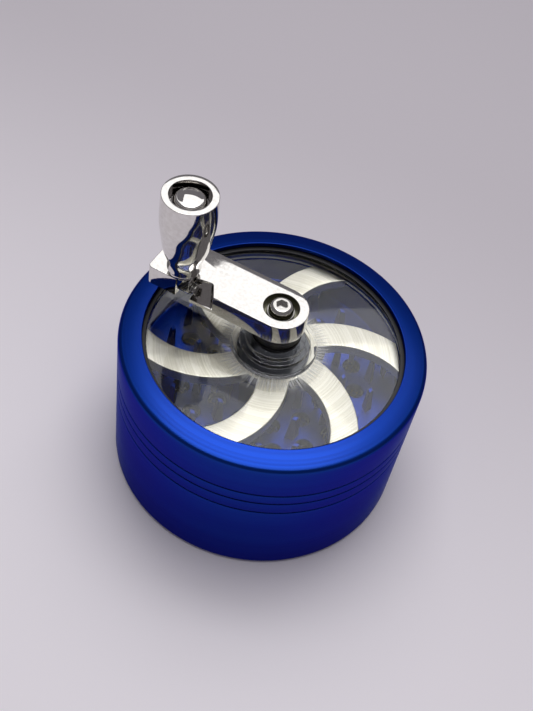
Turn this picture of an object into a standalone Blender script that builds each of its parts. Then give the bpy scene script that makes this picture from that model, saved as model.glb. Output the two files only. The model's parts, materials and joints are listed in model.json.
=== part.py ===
"""A hand-cranked herb grinder with a clear window, about 63 mm across.

Metres, +Z up. The grinder stands on Z = 0 with its axis on Z, and its crank arm lies along -X.
Four stacked bodies lift off each other: catcher cup, sieve ring, grinding plate and lid.
Inside the lid a six-bladed rotor turns with the crank, and its teeth pass between the plate's teeth.
"""

import math

import bmesh
import bpy
from mathutils import Matrix

# ---- Clearances -------------------------------------------------------------------------------
GAP = 0.0003  # between pieces that seat on or in each other
RUN = 0.0001  # radial play of a turning fit
PRESS = 0.0002  # round the fold pin where it is pressed into the arm
TOOTH_ROOM = 0.0006  # above and below the teeth as they pass
FOLD_ROOM = 0.00015  # between the arm's front edge and the folding foot
PASS = 0.001  # that a cutter runs on beyond the face it opens

# ---- Stack of round bodies --------------------------------------------------------------------
BODY_RADIUS = 0.0315
SEAM_CHAMFER = 0.0002
CUP_HEIGHT = 0.0205
CUP_WALL = 0.0022
CUP_FLOOR = 0.0020
CUP_FOOT_CHAMFER = 0.0012
SIEVE_BAND = 0.00335
SLEEVE_WALL = 0.0016
SLEEVE_DEPTH = 0.0090
LEDGE_WIDTH = 0.0018
LEDGE_THICKNESS = 0.0010
SCREEN_THICKNESS = 0.0003
RETAINER_THICKNESS = 0.0010
PLATE_BAND = 0.00285
PLATE_DROP = 0.0030
PLATE_FLOOR = 0.0020
CHAMBER_WALL = 0.0015
LID_HEIGHT = 0.0085
LID_RISE = 0.0008
LID_WALL = 0.0029
LID_LIP = 0.0010
LID_EDGE_ROUND = 0.0007
SIGHT_RADIUS = 0.0267

# ---- Window and bearing -----------------------------------------------------------------------
GASKET_THICKNESS = 0.0004
GASKET_BORE = 0.0259
WINDOW_THICKNESS = 0.0021
SLIP_RING_THICKNESS = 0.0004
BOSS_STEP_RADII = (0.0087, 0.0072, 0.0061)
BOSS_STEP_HEIGHTS = (0.0010, 0.0020, 0.0029)
BUSH_WALL = 0.0014
BUSH_FLANGE_RADIUS = 0.0050
BUSH_FLANGE_THICKNESS = 0.0007

# ---- Rotor and shaft --------------------------------------------------------------------------
ROTOR_HEADROOM = 0.0005
ROTOR_SIDE_ROOM = 0.0006
BLADE_COUNT = 6
BLADE_FIRST_ANGLE = math.radians(-2.0)
BLADE_THICKNESS = 0.0024
BLADE_ROOT_WIDTH = 0.0064
BLADE_TIP_WIDTH = 0.0052
BLADE_ARC_RADIUS = 0.0180
BLADE_ROOT_TURN = math.radians(-8.7)
BLADE_ROOT_OVERLAP = 0.12  # radians of its arc that a blade starts inside the hub
BLADE_POINTS = 8
HUB_RADIUS = 0.0084
HUB_RECESS_RADIUS = 0.0078
HUB_RECESS_DEPTH = 0.0008
THRUST_WASHER_RADIUS = 0.0074
SHAFT_RADIUS = 0.0029
SHAFT_FLANGE_RADIUS = 0.0045
SHAFT_FLANGE_THICKNESS = 0.0012
COLLAR_RADIUS = 0.0049

# ---- Teeth and holes --------------------------------------------------------------------------
TOOTH_RING_FIRST = 0.0092
TOOTH_RINGS = 3  # on the plate, and as many on the rotor between and outside them
TOOTH_SIDE_ROOM = 0.00095  # between teeth that pass each other
TOOTH_EDGE_ROOM = 0.00015  # inside the rotor's rim
TOOTH_LENGTH = 0.0032
TOOTH_TAPER = 0.55
TOOTH_ROOT = 0.0006  # how far a tooth sinks into what carries it
PLATE_TEETH = (8, 12, 18)
PLATE_TWIST = math.radians(1.7)  # of the plate's teeth and holes about the axis
HOLE_RADIUS = 0.0017
HOLE_COUNTS = (12, 18)
HOLE_SIDES = 12

# ---- Crank arm --------------------------------------------------------------------------------
ARM_LIFT = 0.0048  # from the lid's highest edge to the arm's underside
ARM_THICKNESS = 0.0046
ARM_HALF_WIDTH = 0.0055
ARM_REACH = 0.0272
ARM_CORNER = 0.0009
COUNTERBORE_RADIUS = 0.0036
SOCKET_DEPTH = 0.0011  # of the square socket in the arm's underside
SOCKET_WEB = 0.0018  # between that socket and the counterbore
SCREW_RADIUS = 0.00145
SCREW_HEAD_RADIUS = 0.0025
SCREW_HEAD_FLAT = 0.0016  # radius of the head's flat top
SCREW_HEAD_HEIGHT = 0.0015
SCREW_LENGTH = 0.0080
SCREW_POINT = 0.0005
LOCK_WASHER_THICKNESS = 0.0004
HEX_SOCKET_RADIUS = 0.00127
HEX_SOCKET_DEPTH = 0.0009

# ---- Folding knob -----------------------------------------------------------------------------
KNOB_REACH = 0.0205
KNOB_OFFSET = -0.0029
PIN_HEIGHT = 0.0028  # above the arm's underside
PIN_RADIUS = 0.00055
PIN_HEAD_RADIUS = 0.0010
PIN_HEAD_LENGTH = 0.0007
PIN_HEAD_EDGE = 0.0003
PIN_BITE = 0.0048
FOLD_WASHER_RADIUS = 0.0011
FOLD_WASHER_THICKNESS = 0.0003
NOTCH_START = 0.0122  # at the arm's front edge
NOTCH_LEAN = 0.0018  # that its start wall leans towards the knob
NOTCH_END = 0.0207
NOTCH_DEPTH = 0.0032  # at its start
NOTCH_SHALLOW = 0.0026  # where it meets the tongue's slot
SLOT_DEPTH = 0.0028
NOTCH_FLOOR = 0.0009
TONGUE_WIDTH = 0.0027
TONGUE_ROUND = 0.0013
FOOT_RADIUS = 0.00305
FOOT_THICKNESS = 0.0008
KNOB_LENGTH = 0.0189
KNOB_STATIONS = (
    (0.00, 0.00343),
    (0.09, 0.00350),
    (0.28, 0.00450),
    (0.48, 0.00512),
    (0.64, 0.00550),
    (0.79, 0.00555),
    (1.00, 0.00542),
)  # share of the length, radius
RECESS_RADIUS = 0.0040
RECESS_DEPTH = 0.0029
STUD_RADIUS = 0.0019
CAP_HEAD_RADIUS = 0.0033
CAP_HEAD_FLAT = 0.0015  # radius of the head's flat top
CAP_HEAD_HEIGHT = 0.0021
CAP_SHANK_RADIUS = 0.0010
CAP_SHANK_LENGTH = 0.0060

# ---- Facets -----------------------------------------------------------------------------------
BODY_STEPS = 48
MEDIUM_STEPS = 28
SMALL_STEPS = 16
DOME_STEPS = 5
BARREL_STEPS = 10

# ---- Heights that follow ----------------------------------------------------------------------
CUP_TOP = CUP_HEIGHT
SIEVE_TOP = CUP_TOP + SIEVE_BAND
PLATE_TOP = SIEVE_TOP + PLATE_BAND
LID_TOP = PLATE_TOP + LID_HEIGHT
LIP_TOP = LID_TOP + LID_RISE
LIP_UNDER = LIP_TOP - LID_LIP
GASKET_TOP = LIP_UNDER - GAP
WINDOW_TOP = GASKET_TOP - GASKET_THICKNESS - GAP
WINDOW_UNDER = WINDOW_TOP - WINDOW_THICKNESS
WINDOW_RETAINER_TOP = WINDOW_UNDER - GAP
SLIP_RING_TOP = WINDOW_RETAINER_TOP - RETAINER_THICKNESS - GAP
CHAMBER_WALL_TOP = SLIP_RING_TOP - SLIP_RING_THICKNESS - GAP
PLATE_UNDER = SIEVE_TOP - PLATE_DROP
FLOOR_TOP = PLATE_UNDER + PLATE_FLOOR
ROTOR_TOP = WINDOW_UNDER - ROTOR_HEADROOM
BLADE_UNDER = ROTOR_TOP - BLADE_THICKNESS
SLEEVE_UNDER = CUP_TOP - SLEEVE_DEPTH
SCREEN_UNDER = SLEEVE_UNDER + LEDGE_THICKNESS + GAP
BOSS_TOP = WINDOW_TOP + BOSS_STEP_HEIGHTS[-1]
BUSH_TOP = BOSS_TOP + GAP + BUSH_FLANGE_THICKNESS
ARM_UNDER = LIP_TOP + ARM_LIFT
ARM_TOP = ARM_UNDER + ARM_THICKNESS
SOCKET_TOP = ARM_UNDER + SOCKET_DEPTH
COUNTERBORE_FLOOR = SOCKET_TOP + SOCKET_WEB
SHAFT_TOP = SOCKET_TOP - GAP
LOCK_WASHER_TOP = COUNTERBORE_FLOOR + GAP + LOCK_WASHER_THICKNESS
PIN_Z = ARM_UNDER + PIN_HEIGHT
PIN_OFFSET = SLOT_DEPTH - ARM_HALF_WIDTH - GAP - TONGUE_ROUND
EDGE_REACH = math.hypot(ARM_HALF_WIDTH + PIN_OFFSET, ARM_TOP - PIN_Z)
FOOT_UNDER = PIN_Z + EDGE_REACH + FOLD_ROOM
KNOB_UNDER = FOOT_UNDER + FOOT_THICKNESS + GAP
KNOB_TOP = KNOB_UNDER + KNOB_LENGTH
RECESS_FLOOR = KNOB_TOP - RECESS_DEPTH
STUD_TOP = RECESS_FLOOR + GAP

# ---- Radii that follow ------------------------------------------------------------------------
CUP_BORE = BODY_RADIUS - CUP_WALL
SLEEVE_RADIUS = CUP_BORE - GAP
SLEEVE_BORE = SLEEVE_RADIUS - SLEEVE_WALL
LEDGE_BORE = SLEEVE_BORE - LEDGE_WIDTH
SCREEN_RADIUS = SLEEVE_BORE - GAP
SPIGOT_RADIUS = SLEEVE_BORE - GAP
LID_BORE = BODY_RADIUS - LID_WALL
WINDOW_RADIUS = LID_BORE - GAP
CHAMBER_RADIUS = LID_BORE - GAP
CHAMBER_BORE = CHAMBER_RADIUS - CHAMBER_WALL
ROTOR_RADIUS = CHAMBER_BORE - ROTOR_SIDE_ROOM
BUSH_BORE = SHAFT_RADIUS + RUN
BUSH_RADIUS = BUSH_BORE + BUSH_WALL
SHAFT_SQUARE = SHAFT_RADIUS * math.sqrt(2.0)
SQUARE_HOLE = SHAFT_SQUARE + 2.0 * GAP
TAPPED_RADIUS = SCREW_RADIUS + GAP
TONGUE_OUTER_X = -(NOTCH_END - GAP)
TONGUE_INNER_X = TONGUE_OUTER_X + TONGUE_WIDTH
FOLD_WASHER_X = TONGUE_INNER_X + RUN
PIN_HEAD_X = FOLD_WASHER_X + FOLD_WASHER_THICKNESS + RUN
TOOTH_SPAN = ROTOR_RADIUS - TOOTH_EDGE_ROOM - TOOTH_RING_FIRST + TOOTH_SIDE_ROOM / 2.0
TOOTH_RING_PITCH = TOOTH_SPAN / (2 * TOOTH_RINGS - 0.5)
TOOTH_WIDTH = TOOTH_RING_PITCH - TOOTH_SIDE_ROOM
PLATE_RINGS = tuple(TOOTH_RING_FIRST + 2 * i * TOOTH_RING_PITCH for i in range(TOOTH_RINGS))
ROTOR_RINGS = tuple(radius + TOOTH_RING_PITCH for radius in PLATE_RINGS)


def clear_scene():
    for old in list(bpy.data.objects):
        bpy.data.objects.remove(old, do_unlink=True)


def new_collection(name):
    made = bpy.data.collections.new(name)
    bpy.context.scene.collection.children.link(made)
    return made


clear_scene()
PARTS = new_collection("herb_grinder")
CUTTERS = new_collection("cutters")
CUTTERS.hide_render = True


def finish(name, color, roughness, metallic, transmission=0.0):
    """A plain Principled material in the piece's own colour."""
    made = bpy.data.materials.new(name)
    made.use_nodes = True
    shader = made.node_tree.nodes["Principled BSDF"]
    shader.inputs["Base Color"].default_value = (*color, 1.0)
    shader.inputs["Roughness"].default_value = roughness
    shader.inputs["Metallic"].default_value = metallic
    shader.inputs["Transmission Weight"].default_value = transmission
    return made


BLUE = ("blue_anodised_aluminium", (0.008, 0.040, 0.420), 0.32, 0.85)
BARE = ("bare_machined_aluminium", (0.80, 0.78, 0.74), 0.30, 1.0)
CHROME = ("chrome_plate", (0.78, 0.79, 0.80), 0.06, 1.0)
STEEL = ("stainless_steel", (0.42, 0.41, 0.40), 0.30, 1.0)
ACRYLIC = ("clear_acrylic", (0.90, 0.94, 0.98), 0.04, 0.0, 0.95)
BLACK = ("black_rubber", (0.015, 0.015, 0.018), 0.60, 0.0)
BLACK_NYLON = ("black_nylon", (0.02, 0.02, 0.022), 0.40, 0.0)
NYLON = ("white_nylon", (0.75, 0.75, 0.72), 0.45, 0.0)
DARK = ("dark_bearing_steel", (0.05, 0.05, 0.055), 0.35, 1.0)


def dress(obj, settings):
    """Gives the object a material of its own."""
    obj.data.materials.clear()
    obj.data.materials.append(finish(f"{obj.name}_{settings[0]}", *settings[1:]))


def place(mesh, name, settings=None):
    """Links a mesh as a part when it has a finish, or else as a hidden cutter."""
    obj = bpy.data.objects.new(name, mesh)
    (PARTS if settings else CUTTERS).objects.link(obj)
    if settings:
        dress(obj, settings)
    else:
        obj.hide_render = True
        obj.display_type = "WIRE"
    return obj


def turned(name, outline, steps, settings=None):
    """A solid of revolution about Z. The outline is (radius, height) points, down the outer side."""
    mesh = bpy.data.meshes.new(name)
    on_axis = outline[0][0] == 0.0
    count = len(outline)
    edges = [(i, i + 1) for i in range(count - 1)]
    if not on_axis:
        edges.append((count - 1, 0))
    mesh.from_pydata([(r, 0.0, z) for r, z in outline], edges, [])
    obj = place(mesh, name, settings)
    screw = obj.modifiers.new("Turn", "SCREW")
    screw.axis = "Z"
    screw.steps = steps
    screw.render_steps = steps
    screw.use_merge_vertices = True
    screw.merge_threshold = 0.000001
    screw.use_smooth_shade = True
    return obj


def ring(name, inner, outer, low, high, steps, settings=None):
    """A plain flat ring."""
    outline = ((outer, high), (outer, low), (inner, low), (inner, high))
    return turned(name, outline, steps, settings)


def move(obj, x, y, z=0.0):
    obj.location = (x, y, z)
    return obj


def bar(name, low, high):
    """A box between two corners, as a cutter."""
    made = bmesh.new()
    size = [b - a for a, b in zip(low, high)]
    middle = [(a + b) / 2.0 for a, b in zip(low, high)]
    shape = Matrix.Translation(middle) @ Matrix.Diagonal((*size, 1.0))
    bmesh.ops.create_cube(made, size=1.0, matrix=shape)
    mesh = bpy.data.meshes.new(name)
    made.to_mesh(mesh)
    made.free()
    return place(mesh, name)


def rods(name, centres, radius, low, high, sides, along_x=False):
    """Straight round rods as one cutter. Centres are (x, y), or (y, z) for rods along X."""
    made = bmesh.new()
    for a, b in centres:
        middle = (low + high) / 2.0
        spot = Matrix.Translation((middle, a, b) if along_x else (a, b, middle))
        turn = Matrix.Rotation(math.pi / 2.0, 4, "Y") if along_x else Matrix.Identity(4)
        size = {"segments": sides, "radius1": radius, "radius2": radius, "depth": high - low}
        bmesh.ops.create_cone(made, cap_ends=True, matrix=spot @ turn, **size)
    mesh = bpy.data.meshes.new(name)
    made.to_mesh(mesh)
    made.free()
    return place(mesh, name)


def join(obj, other, operation):
    """Adds an exact Boolean with another solid."""
    step = obj.modifiers.new(f"{operation.title()} {other.name}", "BOOLEAN")
    step.operation = operation
    step.solver = "EXACT"
    step.object = other
    return obj


def slab(name, outline, low, high, settings=None):
    """A flat outline as a filled 2D curve, extruded between two heights and made a mesh."""
    curve = bpy.data.curves.new(name, "CURVE")
    curve.dimensions = "2D"
    curve.fill_mode = "BOTH"
    curve.extrude = (high - low) / 2.0
    spline = curve.splines.new("POLY")
    spline.points.add(len(outline) - 1)
    for point, (x, y) in zip(spline.points, outline):
        point.co = (x, y, 0.0, 1.0)
    spline.use_cyclic_u = True
    helper = bpy.data.objects.new(f"{name}_curve", curve)
    CUTTERS.objects.link(helper)
    bpy.context.view_layer.update()
    mesh = bpy.data.meshes.new_from_object(helper.evaluated_get(bpy.context.evaluated_depsgraph_get()))
    bpy.data.objects.remove(helper)
    welded = bmesh.new()
    welded.from_mesh(mesh)
    bmesh.ops.remove_doubles(welded, verts=welded.verts, dist=0.000001)
    bmesh.ops.recalc_face_normals(welded, faces=welded.faces)
    bmesh.ops.translate(welded, verts=welded.verts, vec=(0.0, 0.0, (low + high) / 2.0))
    welded.to_mesh(mesh)
    welded.free()
    mesh.name = name
    return place(mesh, name, settings)


def arc(cx, cy, radius, start, end, count):
    """Points on a circular arc, both ends included; angles in radians."""
    turns = [start + (end - start) * i / (count - 1) for i in range(count)]
    return [(cx + radius * math.cos(t), cy + radius * math.sin(t)) for t in turns]


def around(radius, count, first=0.0):
    """(x, y, angle) of evenly spaced places on a circle."""
    turns = [first + 2.0 * math.pi * i / count for i in range(count)]
    return [(radius * math.cos(t), radius * math.sin(t), t) for t in turns]


def diamond_teeth(name, spots, low, high, wide_at_low):
    """Upright diamond-shaped teeth, pointed along their travel and tapered away from their root."""
    made = bmesh.new()
    for x, y, turn in spots:
        stretch = Matrix.Diagonal((1.0, TOOTH_LENGTH / TOOTH_WIDTH, 1.0, 1.0))
        spot = Matrix.Translation((x, y, (low + high) / 2.0)) @ Matrix.Rotation(turn, 4, "Z") @ stretch
        half = TOOTH_WIDTH / 2.0
        ends = (half, half * TOOTH_TAPER) if wide_at_low else (half * TOOTH_TAPER, half)
        bmesh.ops.create_cone(
            made, cap_ends=True, segments=4, radius1=ends[0], radius2=ends[1], depth=high - low, matrix=spot
        )
    mesh = bpy.data.meshes.new(name)
    made.to_mesh(mesh)
    made.free()
    return place(mesh, name)


# ---- Round bodies -----------------------------------------------------------------------------
def build_catcher_cup():
    high = CUP_TOP - GAP / 2
    outline = (
        (0.0, CUP_FLOOR),
        (CUP_BORE, CUP_FLOOR),
        (CUP_BORE, high),
        (BODY_RADIUS - SEAM_CHAMFER, high),
        (BODY_RADIUS, high - SEAM_CHAMFER),
        (BODY_RADIUS, CUP_FOOT_CHAMFER),
        (BODY_RADIUS - CUP_FOOT_CHAMFER, 0.0),
        (0.0, 0.0),
    )
    turned("catcher_cup", outline, BODY_STEPS, BLUE)


def build_sieve_ring():
    low = CUP_TOP + GAP / 2
    high = SIEVE_TOP - GAP / 2
    outline = (
        (BODY_RADIUS - SEAM_CHAMFER, high),
        (BODY_RADIUS, high - SEAM_CHAMFER),
        (BODY_RADIUS, low + SEAM_CHAMFER),
        (BODY_RADIUS - SEAM_CHAMFER, low),
        (SLEEVE_RADIUS, low),
        (SLEEVE_RADIUS, SLEEVE_UNDER),
        (LEDGE_BORE, SLEEVE_UNDER),
        (LEDGE_BORE, SLEEVE_UNDER + LEDGE_THICKNESS),
        (SLEEVE_BORE, SLEEVE_UNDER + LEDGE_THICKNESS),
        (SLEEVE_BORE, high),
    )
    turned("sieve_ring", outline, BODY_STEPS, BLUE)


def build_screen():
    high = SCREEN_UNDER + SCREEN_THICKNESS
    disc = ((0.0, high), (SCREEN_RADIUS, high), (SCREEN_RADIUS, SCREEN_UNDER), (0.0, SCREEN_UNDER))
    turned("sieve_screen", disc, BODY_STEPS, STEEL)
    low = high + GAP
    ring("screen_retainer", LEDGE_BORE, SCREEN_RADIUS, low, low + RETAINER_THICKNESS, BODY_STEPS, BARE)


def build_grinding_plate():
    low = SIEVE_TOP + GAP / 2
    high = PLATE_TOP - GAP / 2
    outline = (
        (0.0, FLOOR_TOP),
        (CHAMBER_BORE, FLOOR_TOP),
        (CHAMBER_BORE, CHAMBER_WALL_TOP),
        (CHAMBER_RADIUS, CHAMBER_WALL_TOP),
        (CHAMBER_RADIUS, high),
        (BODY_RADIUS - SEAM_CHAMFER, high),
        (BODY_RADIUS, high - SEAM_CHAMFER),
        (BODY_RADIUS, low + SEAM_CHAMFER),
        (BODY_RADIUS - SEAM_CHAMFER, low),
        (SPIGOT_RADIUS, low),
        (SPIGOT_RADIUS, PLATE_UNDER),
        (0.0, PLATE_UNDER),
    )
    plate = turned("grinding_plate", outline, BODY_STEPS, BLUE)
    spots = []
    for radius, count in zip(PLATE_RINGS, PLATE_TEETH):
        spots += around(radius, count, math.pi / count + PLATE_TWIST)
    top = BLADE_UNDER - TOOTH_ROOM
    teeth = diamond_teeth("plate_teeth_shape", spots, FLOOR_TOP - TOOTH_ROOT, top, True)
    join(plate, teeth, "UNION")
    centres = []
    for radius, count in zip(ROTOR_RINGS, HOLE_COUNTS):
        centres += [(x, y) for x, y, _ in around(radius, count, PLATE_TWIST)]
    through = (PLATE_UNDER - PASS, FLOOR_TOP + PASS)
    holes = rods("plate_hole_cutter", centres, HOLE_RADIUS, *through, HOLE_SIDES)
    join(plate, holes, "DIFFERENCE")


def build_lid():
    low = PLATE_TOP + GAP / 2
    side = LID_EDGE_ROUND
    corner = arc(BODY_RADIUS - side, LID_TOP - side, side, math.pi / 2.0, 0.0, 4)
    outline = [(SIGHT_RADIUS, LIP_TOP)] + corner
    outline += [
        (BODY_RADIUS, low + SEAM_CHAMFER),
        (BODY_RADIUS - SEAM_CHAMFER, low),
        (LID_BORE, low),
        (LID_BORE, LIP_UNDER),
        (SIGHT_RADIUS, LIP_UNDER),
    ]
    turned("lid_ring", outline, BODY_STEPS, BLUE)


# ---- Window, seals and bearing ----------------------------------------------------------------
def build_window():
    boss = []
    floors = (WINDOW_TOP,) + tuple(WINDOW_TOP + h for h in BOSS_STEP_HEIGHTS)
    for radius, low, high in reversed(list(zip(BOSS_STEP_RADII, floors, floors[1:]))):
        boss += [(radius, high), (radius, low)]
    bore = BUSH_RADIUS + GAP
    outline = [(bore, BOSS_TOP)] + boss
    outline += [(WINDOW_RADIUS, WINDOW_TOP), (WINDOW_RADIUS, WINDOW_UNDER), (bore, WINDOW_UNDER)]
    turned("window", outline, BODY_STEPS, ACRYLIC)


def build_seals():
    gasket_low = GASKET_TOP - GASKET_THICKNESS
    ring("window_gasket", GASKET_BORE, WINDOW_RADIUS, gasket_low, GASKET_TOP, BODY_STEPS, BLACK)
    low = WINDOW_RETAINER_TOP - RETAINER_THICKNESS
    ring("window_retainer", CHAMBER_BORE, WINDOW_RADIUS, low, WINDOW_RETAINER_TOP, BODY_STEPS, BARE)
    low = SLIP_RING_TOP - SLIP_RING_THICKNESS
    ring("slip_ring", CHAMBER_BORE, CHAMBER_RADIUS, low, SLIP_RING_TOP, BODY_STEPS, NYLON)


def build_bush():
    outline = (
        (BUSH_BORE, BUSH_TOP),
        (BUSH_FLANGE_RADIUS, BUSH_TOP),
        (BUSH_FLANGE_RADIUS, BOSS_TOP + GAP),
        (BUSH_RADIUS, BOSS_TOP + GAP),
        (BUSH_RADIUS, WINDOW_UNDER),
        (BUSH_BORE, WINDOW_UNDER),
    )
    turned("shaft_bush", outline, MEDIUM_STEPS, DARK)


# ---- Rotor and shaft --------------------------------------------------------------------------
def blade_outline():
    """A swept blade: a strip round a circular arc that leaves the hub almost along its radius."""
    start = BLADE_ROOT_TURN + math.pi / 2.0
    centre_x = HUB_RADIUS - BLADE_ARC_RADIUS * math.cos(start)
    centre_y = -BLADE_ARC_RADIUS * math.sin(start)
    sweep = ROTOR_RADIUS / BLADE_ARC_RADIUS
    outer = []
    inner = []
    for i in range(BLADE_POINTS):
        share = i / (BLADE_POINTS - 1)
        turn = start + BLADE_ROOT_OVERLAP - (BLADE_ROOT_OVERLAP + sweep) * share
        half = (BLADE_ROOT_WIDTH + (BLADE_TIP_WIDTH - BLADE_ROOT_WIDTH) * share) / 2.0
        for side, offset in ((outer, half), (inner, -half)):
            radius = BLADE_ARC_RADIUS + offset
            side.append((centre_x + radius * math.cos(turn), centre_y + radius * math.sin(turn)))
    return outer + inner[::-1]


def blade_spots():
    """Where each blade's middle line crosses the rotor's tooth rings, as (x, y, angle)."""
    start = BLADE_ROOT_TURN + math.pi / 2.0
    centre_x = HUB_RADIUS - BLADE_ARC_RADIUS * math.cos(start)
    centre_y = -BLADE_ARC_RADIUS * math.sin(start)
    apart = math.hypot(centre_x, centre_y)
    toward = math.atan2(-centre_y, -centre_x)
    spots = []
    for ring_radius in ROTOR_RINGS:
        cosine = (BLADE_ARC_RADIUS**2 + apart**2 - ring_radius**2) / (2.0 * BLADE_ARC_RADIUS * apart)
        turn = toward - math.acos(cosine)
        x = centre_x + BLADE_ARC_RADIUS * math.cos(turn)
        y = centre_y + BLADE_ARC_RADIUS * math.sin(turn)
        spots.append((ring_radius, math.atan2(y, x)))
    found = []
    for i in range(BLADE_COUNT):
        first = BLADE_FIRST_ANGLE + 2.0 * math.pi * i / BLADE_COUNT
        for radius, angle in spots:
            turn = first + angle
            found.append((radius * math.cos(turn), radius * math.sin(turn), turn))
    return found


def build_rotor():
    hub = ((0.0, ROTOR_TOP), (HUB_RADIUS, ROTOR_TOP), (HUB_RADIUS, BLADE_UNDER), (0.0, BLADE_UNDER))
    rotor = turned("rotor", hub, MEDIUM_STEPS, BARE)
    through = (BLADE_UNDER - PASS, ROTOR_TOP + PASS)
    rim = rods("rotor_rim_cutter", [(0.0, 0.0)], ROTOR_RADIUS, *through, BODY_STEPS)
    outline = blade_outline()
    for i in range(BLADE_COUNT):
        turn = BLADE_FIRST_ANGLE + 2.0 * math.pi * i / BLADE_COUNT
        c, s = math.cos(turn), math.sin(turn)
        spun = [(x * c - y * s, x * s + y * c) for x, y in outline]
        blade = slab(f"blade_shape_{i + 1}", spun, BLADE_UNDER, ROTOR_TOP)
        join(blade, rim, "INTERSECT")
        join(rotor, blade, "UNION")
    upward = (ROTOR_TOP - HUB_RECESS_DEPTH, through[1])
    recess = rods("rotor_recess_cutter", [(0.0, 0.0)], HUB_RECESS_RADIUS, *upward, MEDIUM_STEPS)
    join(rotor, recess, "DIFFERENCE")
    reach = (FLOOR_TOP + TOOTH_ROOM, BLADE_UNDER + TOOTH_ROOT)
    teeth = diamond_teeth("rotor_teeth_shape", blade_spots(), *reach, False)
    join(rotor, teeth, "UNION")
    half = SQUARE_HOLE / 2.0
    hole = bar("rotor_square_cutter", (-half, -half, through[0]), (half, half, through[1]))
    join(rotor, hole, "DIFFERENCE")


def build_thrust_washer():
    low = ROTOR_TOP - HUB_RECESS_DEPTH + GAP
    high = WINDOW_UNDER - GAP
    ring("thrust_washer", SHAFT_RADIUS + GAP, THRUST_WASHER_RADIUS, low, high, MEDIUM_STEPS, BLACK_NYLON)


def build_shaft():
    flange_top = BLADE_UNDER - GAP
    flange_low = flange_top - SHAFT_FLANGE_THICKNESS
    shank_low = ROTOR_TOP - HUB_RECESS_DEPTH + GAP
    shank_top = ARM_UNDER - GAP
    hole_floor = LOCK_WASHER_TOP + GAP - SCREW_LENGTH - GAP
    outline = (
        (0.0, shank_top),
        (SHAFT_RADIUS, shank_top),
        (SHAFT_RADIUS, shank_low),
        (0.0, shank_low),
    )
    shaft = turned("drive_shaft", outline, MEDIUM_STEPS, STEEL)
    half = SHAFT_SQUARE / 2.0
    square = bar("shaft_square_shape", (-half, -half, flange_top - GAP), (half, half, SHAFT_TOP))
    join(shaft, square, "UNION")
    axis = [(0.0, 0.0)]
    flange = rods("shaft_flange_shape", axis, SHAFT_FLANGE_RADIUS, flange_low, flange_top, MEDIUM_STEPS)
    join(shaft, flange, "UNION")
    hole = rods("shaft_hole_cutter", axis, TAPPED_RADIUS, hole_floor, SHAFT_TOP + PASS, SMALL_STEPS)
    join(shaft, hole, "DIFFERENCE")
    ring("spacer_collar", SHAFT_RADIUS + GAP, COLLAR_RADIUS, BUSH_TOP + GAP, shank_top, MEDIUM_STEPS, STEEL)


# ---- Crank arm and its screw ------------------------------------------------------------------
def build_crank_arm():
    hub = arc(0.0, 0.0, ARM_HALF_WIDTH, -math.pi / 2.0, math.pi / 2.0, 13)
    inset = ARM_REACH - ARM_CORNER
    back = arc(-inset, ARM_HALF_WIDTH - ARM_CORNER, ARM_CORNER, math.pi / 2.0, math.pi, 4)
    front = arc(-inset, -ARM_HALF_WIDTH + ARM_CORNER, ARM_CORNER, math.pi, 1.5 * math.pi, 4)
    arm = slab("crank_arm", hub + back + front, ARM_UNDER, ARM_TOP, CHROME)
    edge = ARM_HALF_WIDTH
    beyond = ARM_HALF_WIDTH
    slot_x = TONGUE_INNER_X + GAP
    outer = slot_x - GAP / 2
    outline = [
        (-NOTCH_START + NOTCH_LEAN * beyond / NOTCH_DEPTH, -edge - beyond),
        (-NOTCH_START - NOTCH_LEAN, NOTCH_DEPTH - edge),
        (outer, NOTCH_SHALLOW - edge),
        (outer, -edge - beyond),
    ]
    notch = slab("notch_cutter", outline, ARM_UNDER + NOTCH_FLOOR, ARM_TOP + PASS)
    join(arm, notch, "DIFFERENCE")
    slot_low = (-NOTCH_END, -edge - beyond, ARM_UNDER - PASS)
    slot_high = (slot_x, SLOT_DEPTH - edge, ARM_TOP + PASS)
    join(arm, bar("tongue_slot_cutter", slot_low, slot_high), "DIFFERENCE")
    axis = [(0.0, 0.0)]
    top = ARM_TOP + PASS
    bore = rods("counterbore_cutter", axis, COUNTERBORE_RADIUS, COUNTERBORE_FLOOR, top, MEDIUM_STEPS)
    join(arm, bore, "DIFFERENCE")
    through = rods("arm_hole_cutter", axis, TAPPED_RADIUS, ARM_UNDER, top, SMALL_STEPS)
    join(arm, through, "DIFFERENCE")
    half = SQUARE_HOLE / 2.0
    socket = bar("arm_socket_cutter", (-half, -half, ARM_UNDER - PASS), (half, half, SOCKET_TOP))
    join(arm, socket, "DIFFERENCE")
    deep = (-NOTCH_END - PIN_BITE - GAP, -NOTCH_END + GAP)
    pin_line = [(PIN_OFFSET, PIN_Z)]
    pin_hole = rods("pin_hole_cutter", pin_line, PIN_RADIUS + PRESS, *deep, SMALL_STEPS, True)
    join(arm, pin_hole, "DIFFERENCE")


def domed_head(radius, height, base, flat):
    """Half of a low dome with a flat top, from the axis down to its rim, as (radius, height) points."""
    turns = [math.pi / 2.0 * i / DOME_STEPS for i in range(DOME_STEPS + 1)]
    round_part = [(flat + (radius - flat) * math.sin(t), base + height * math.cos(t)) for t in turns]
    return [(0.0, base + height)] + round_part


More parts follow.
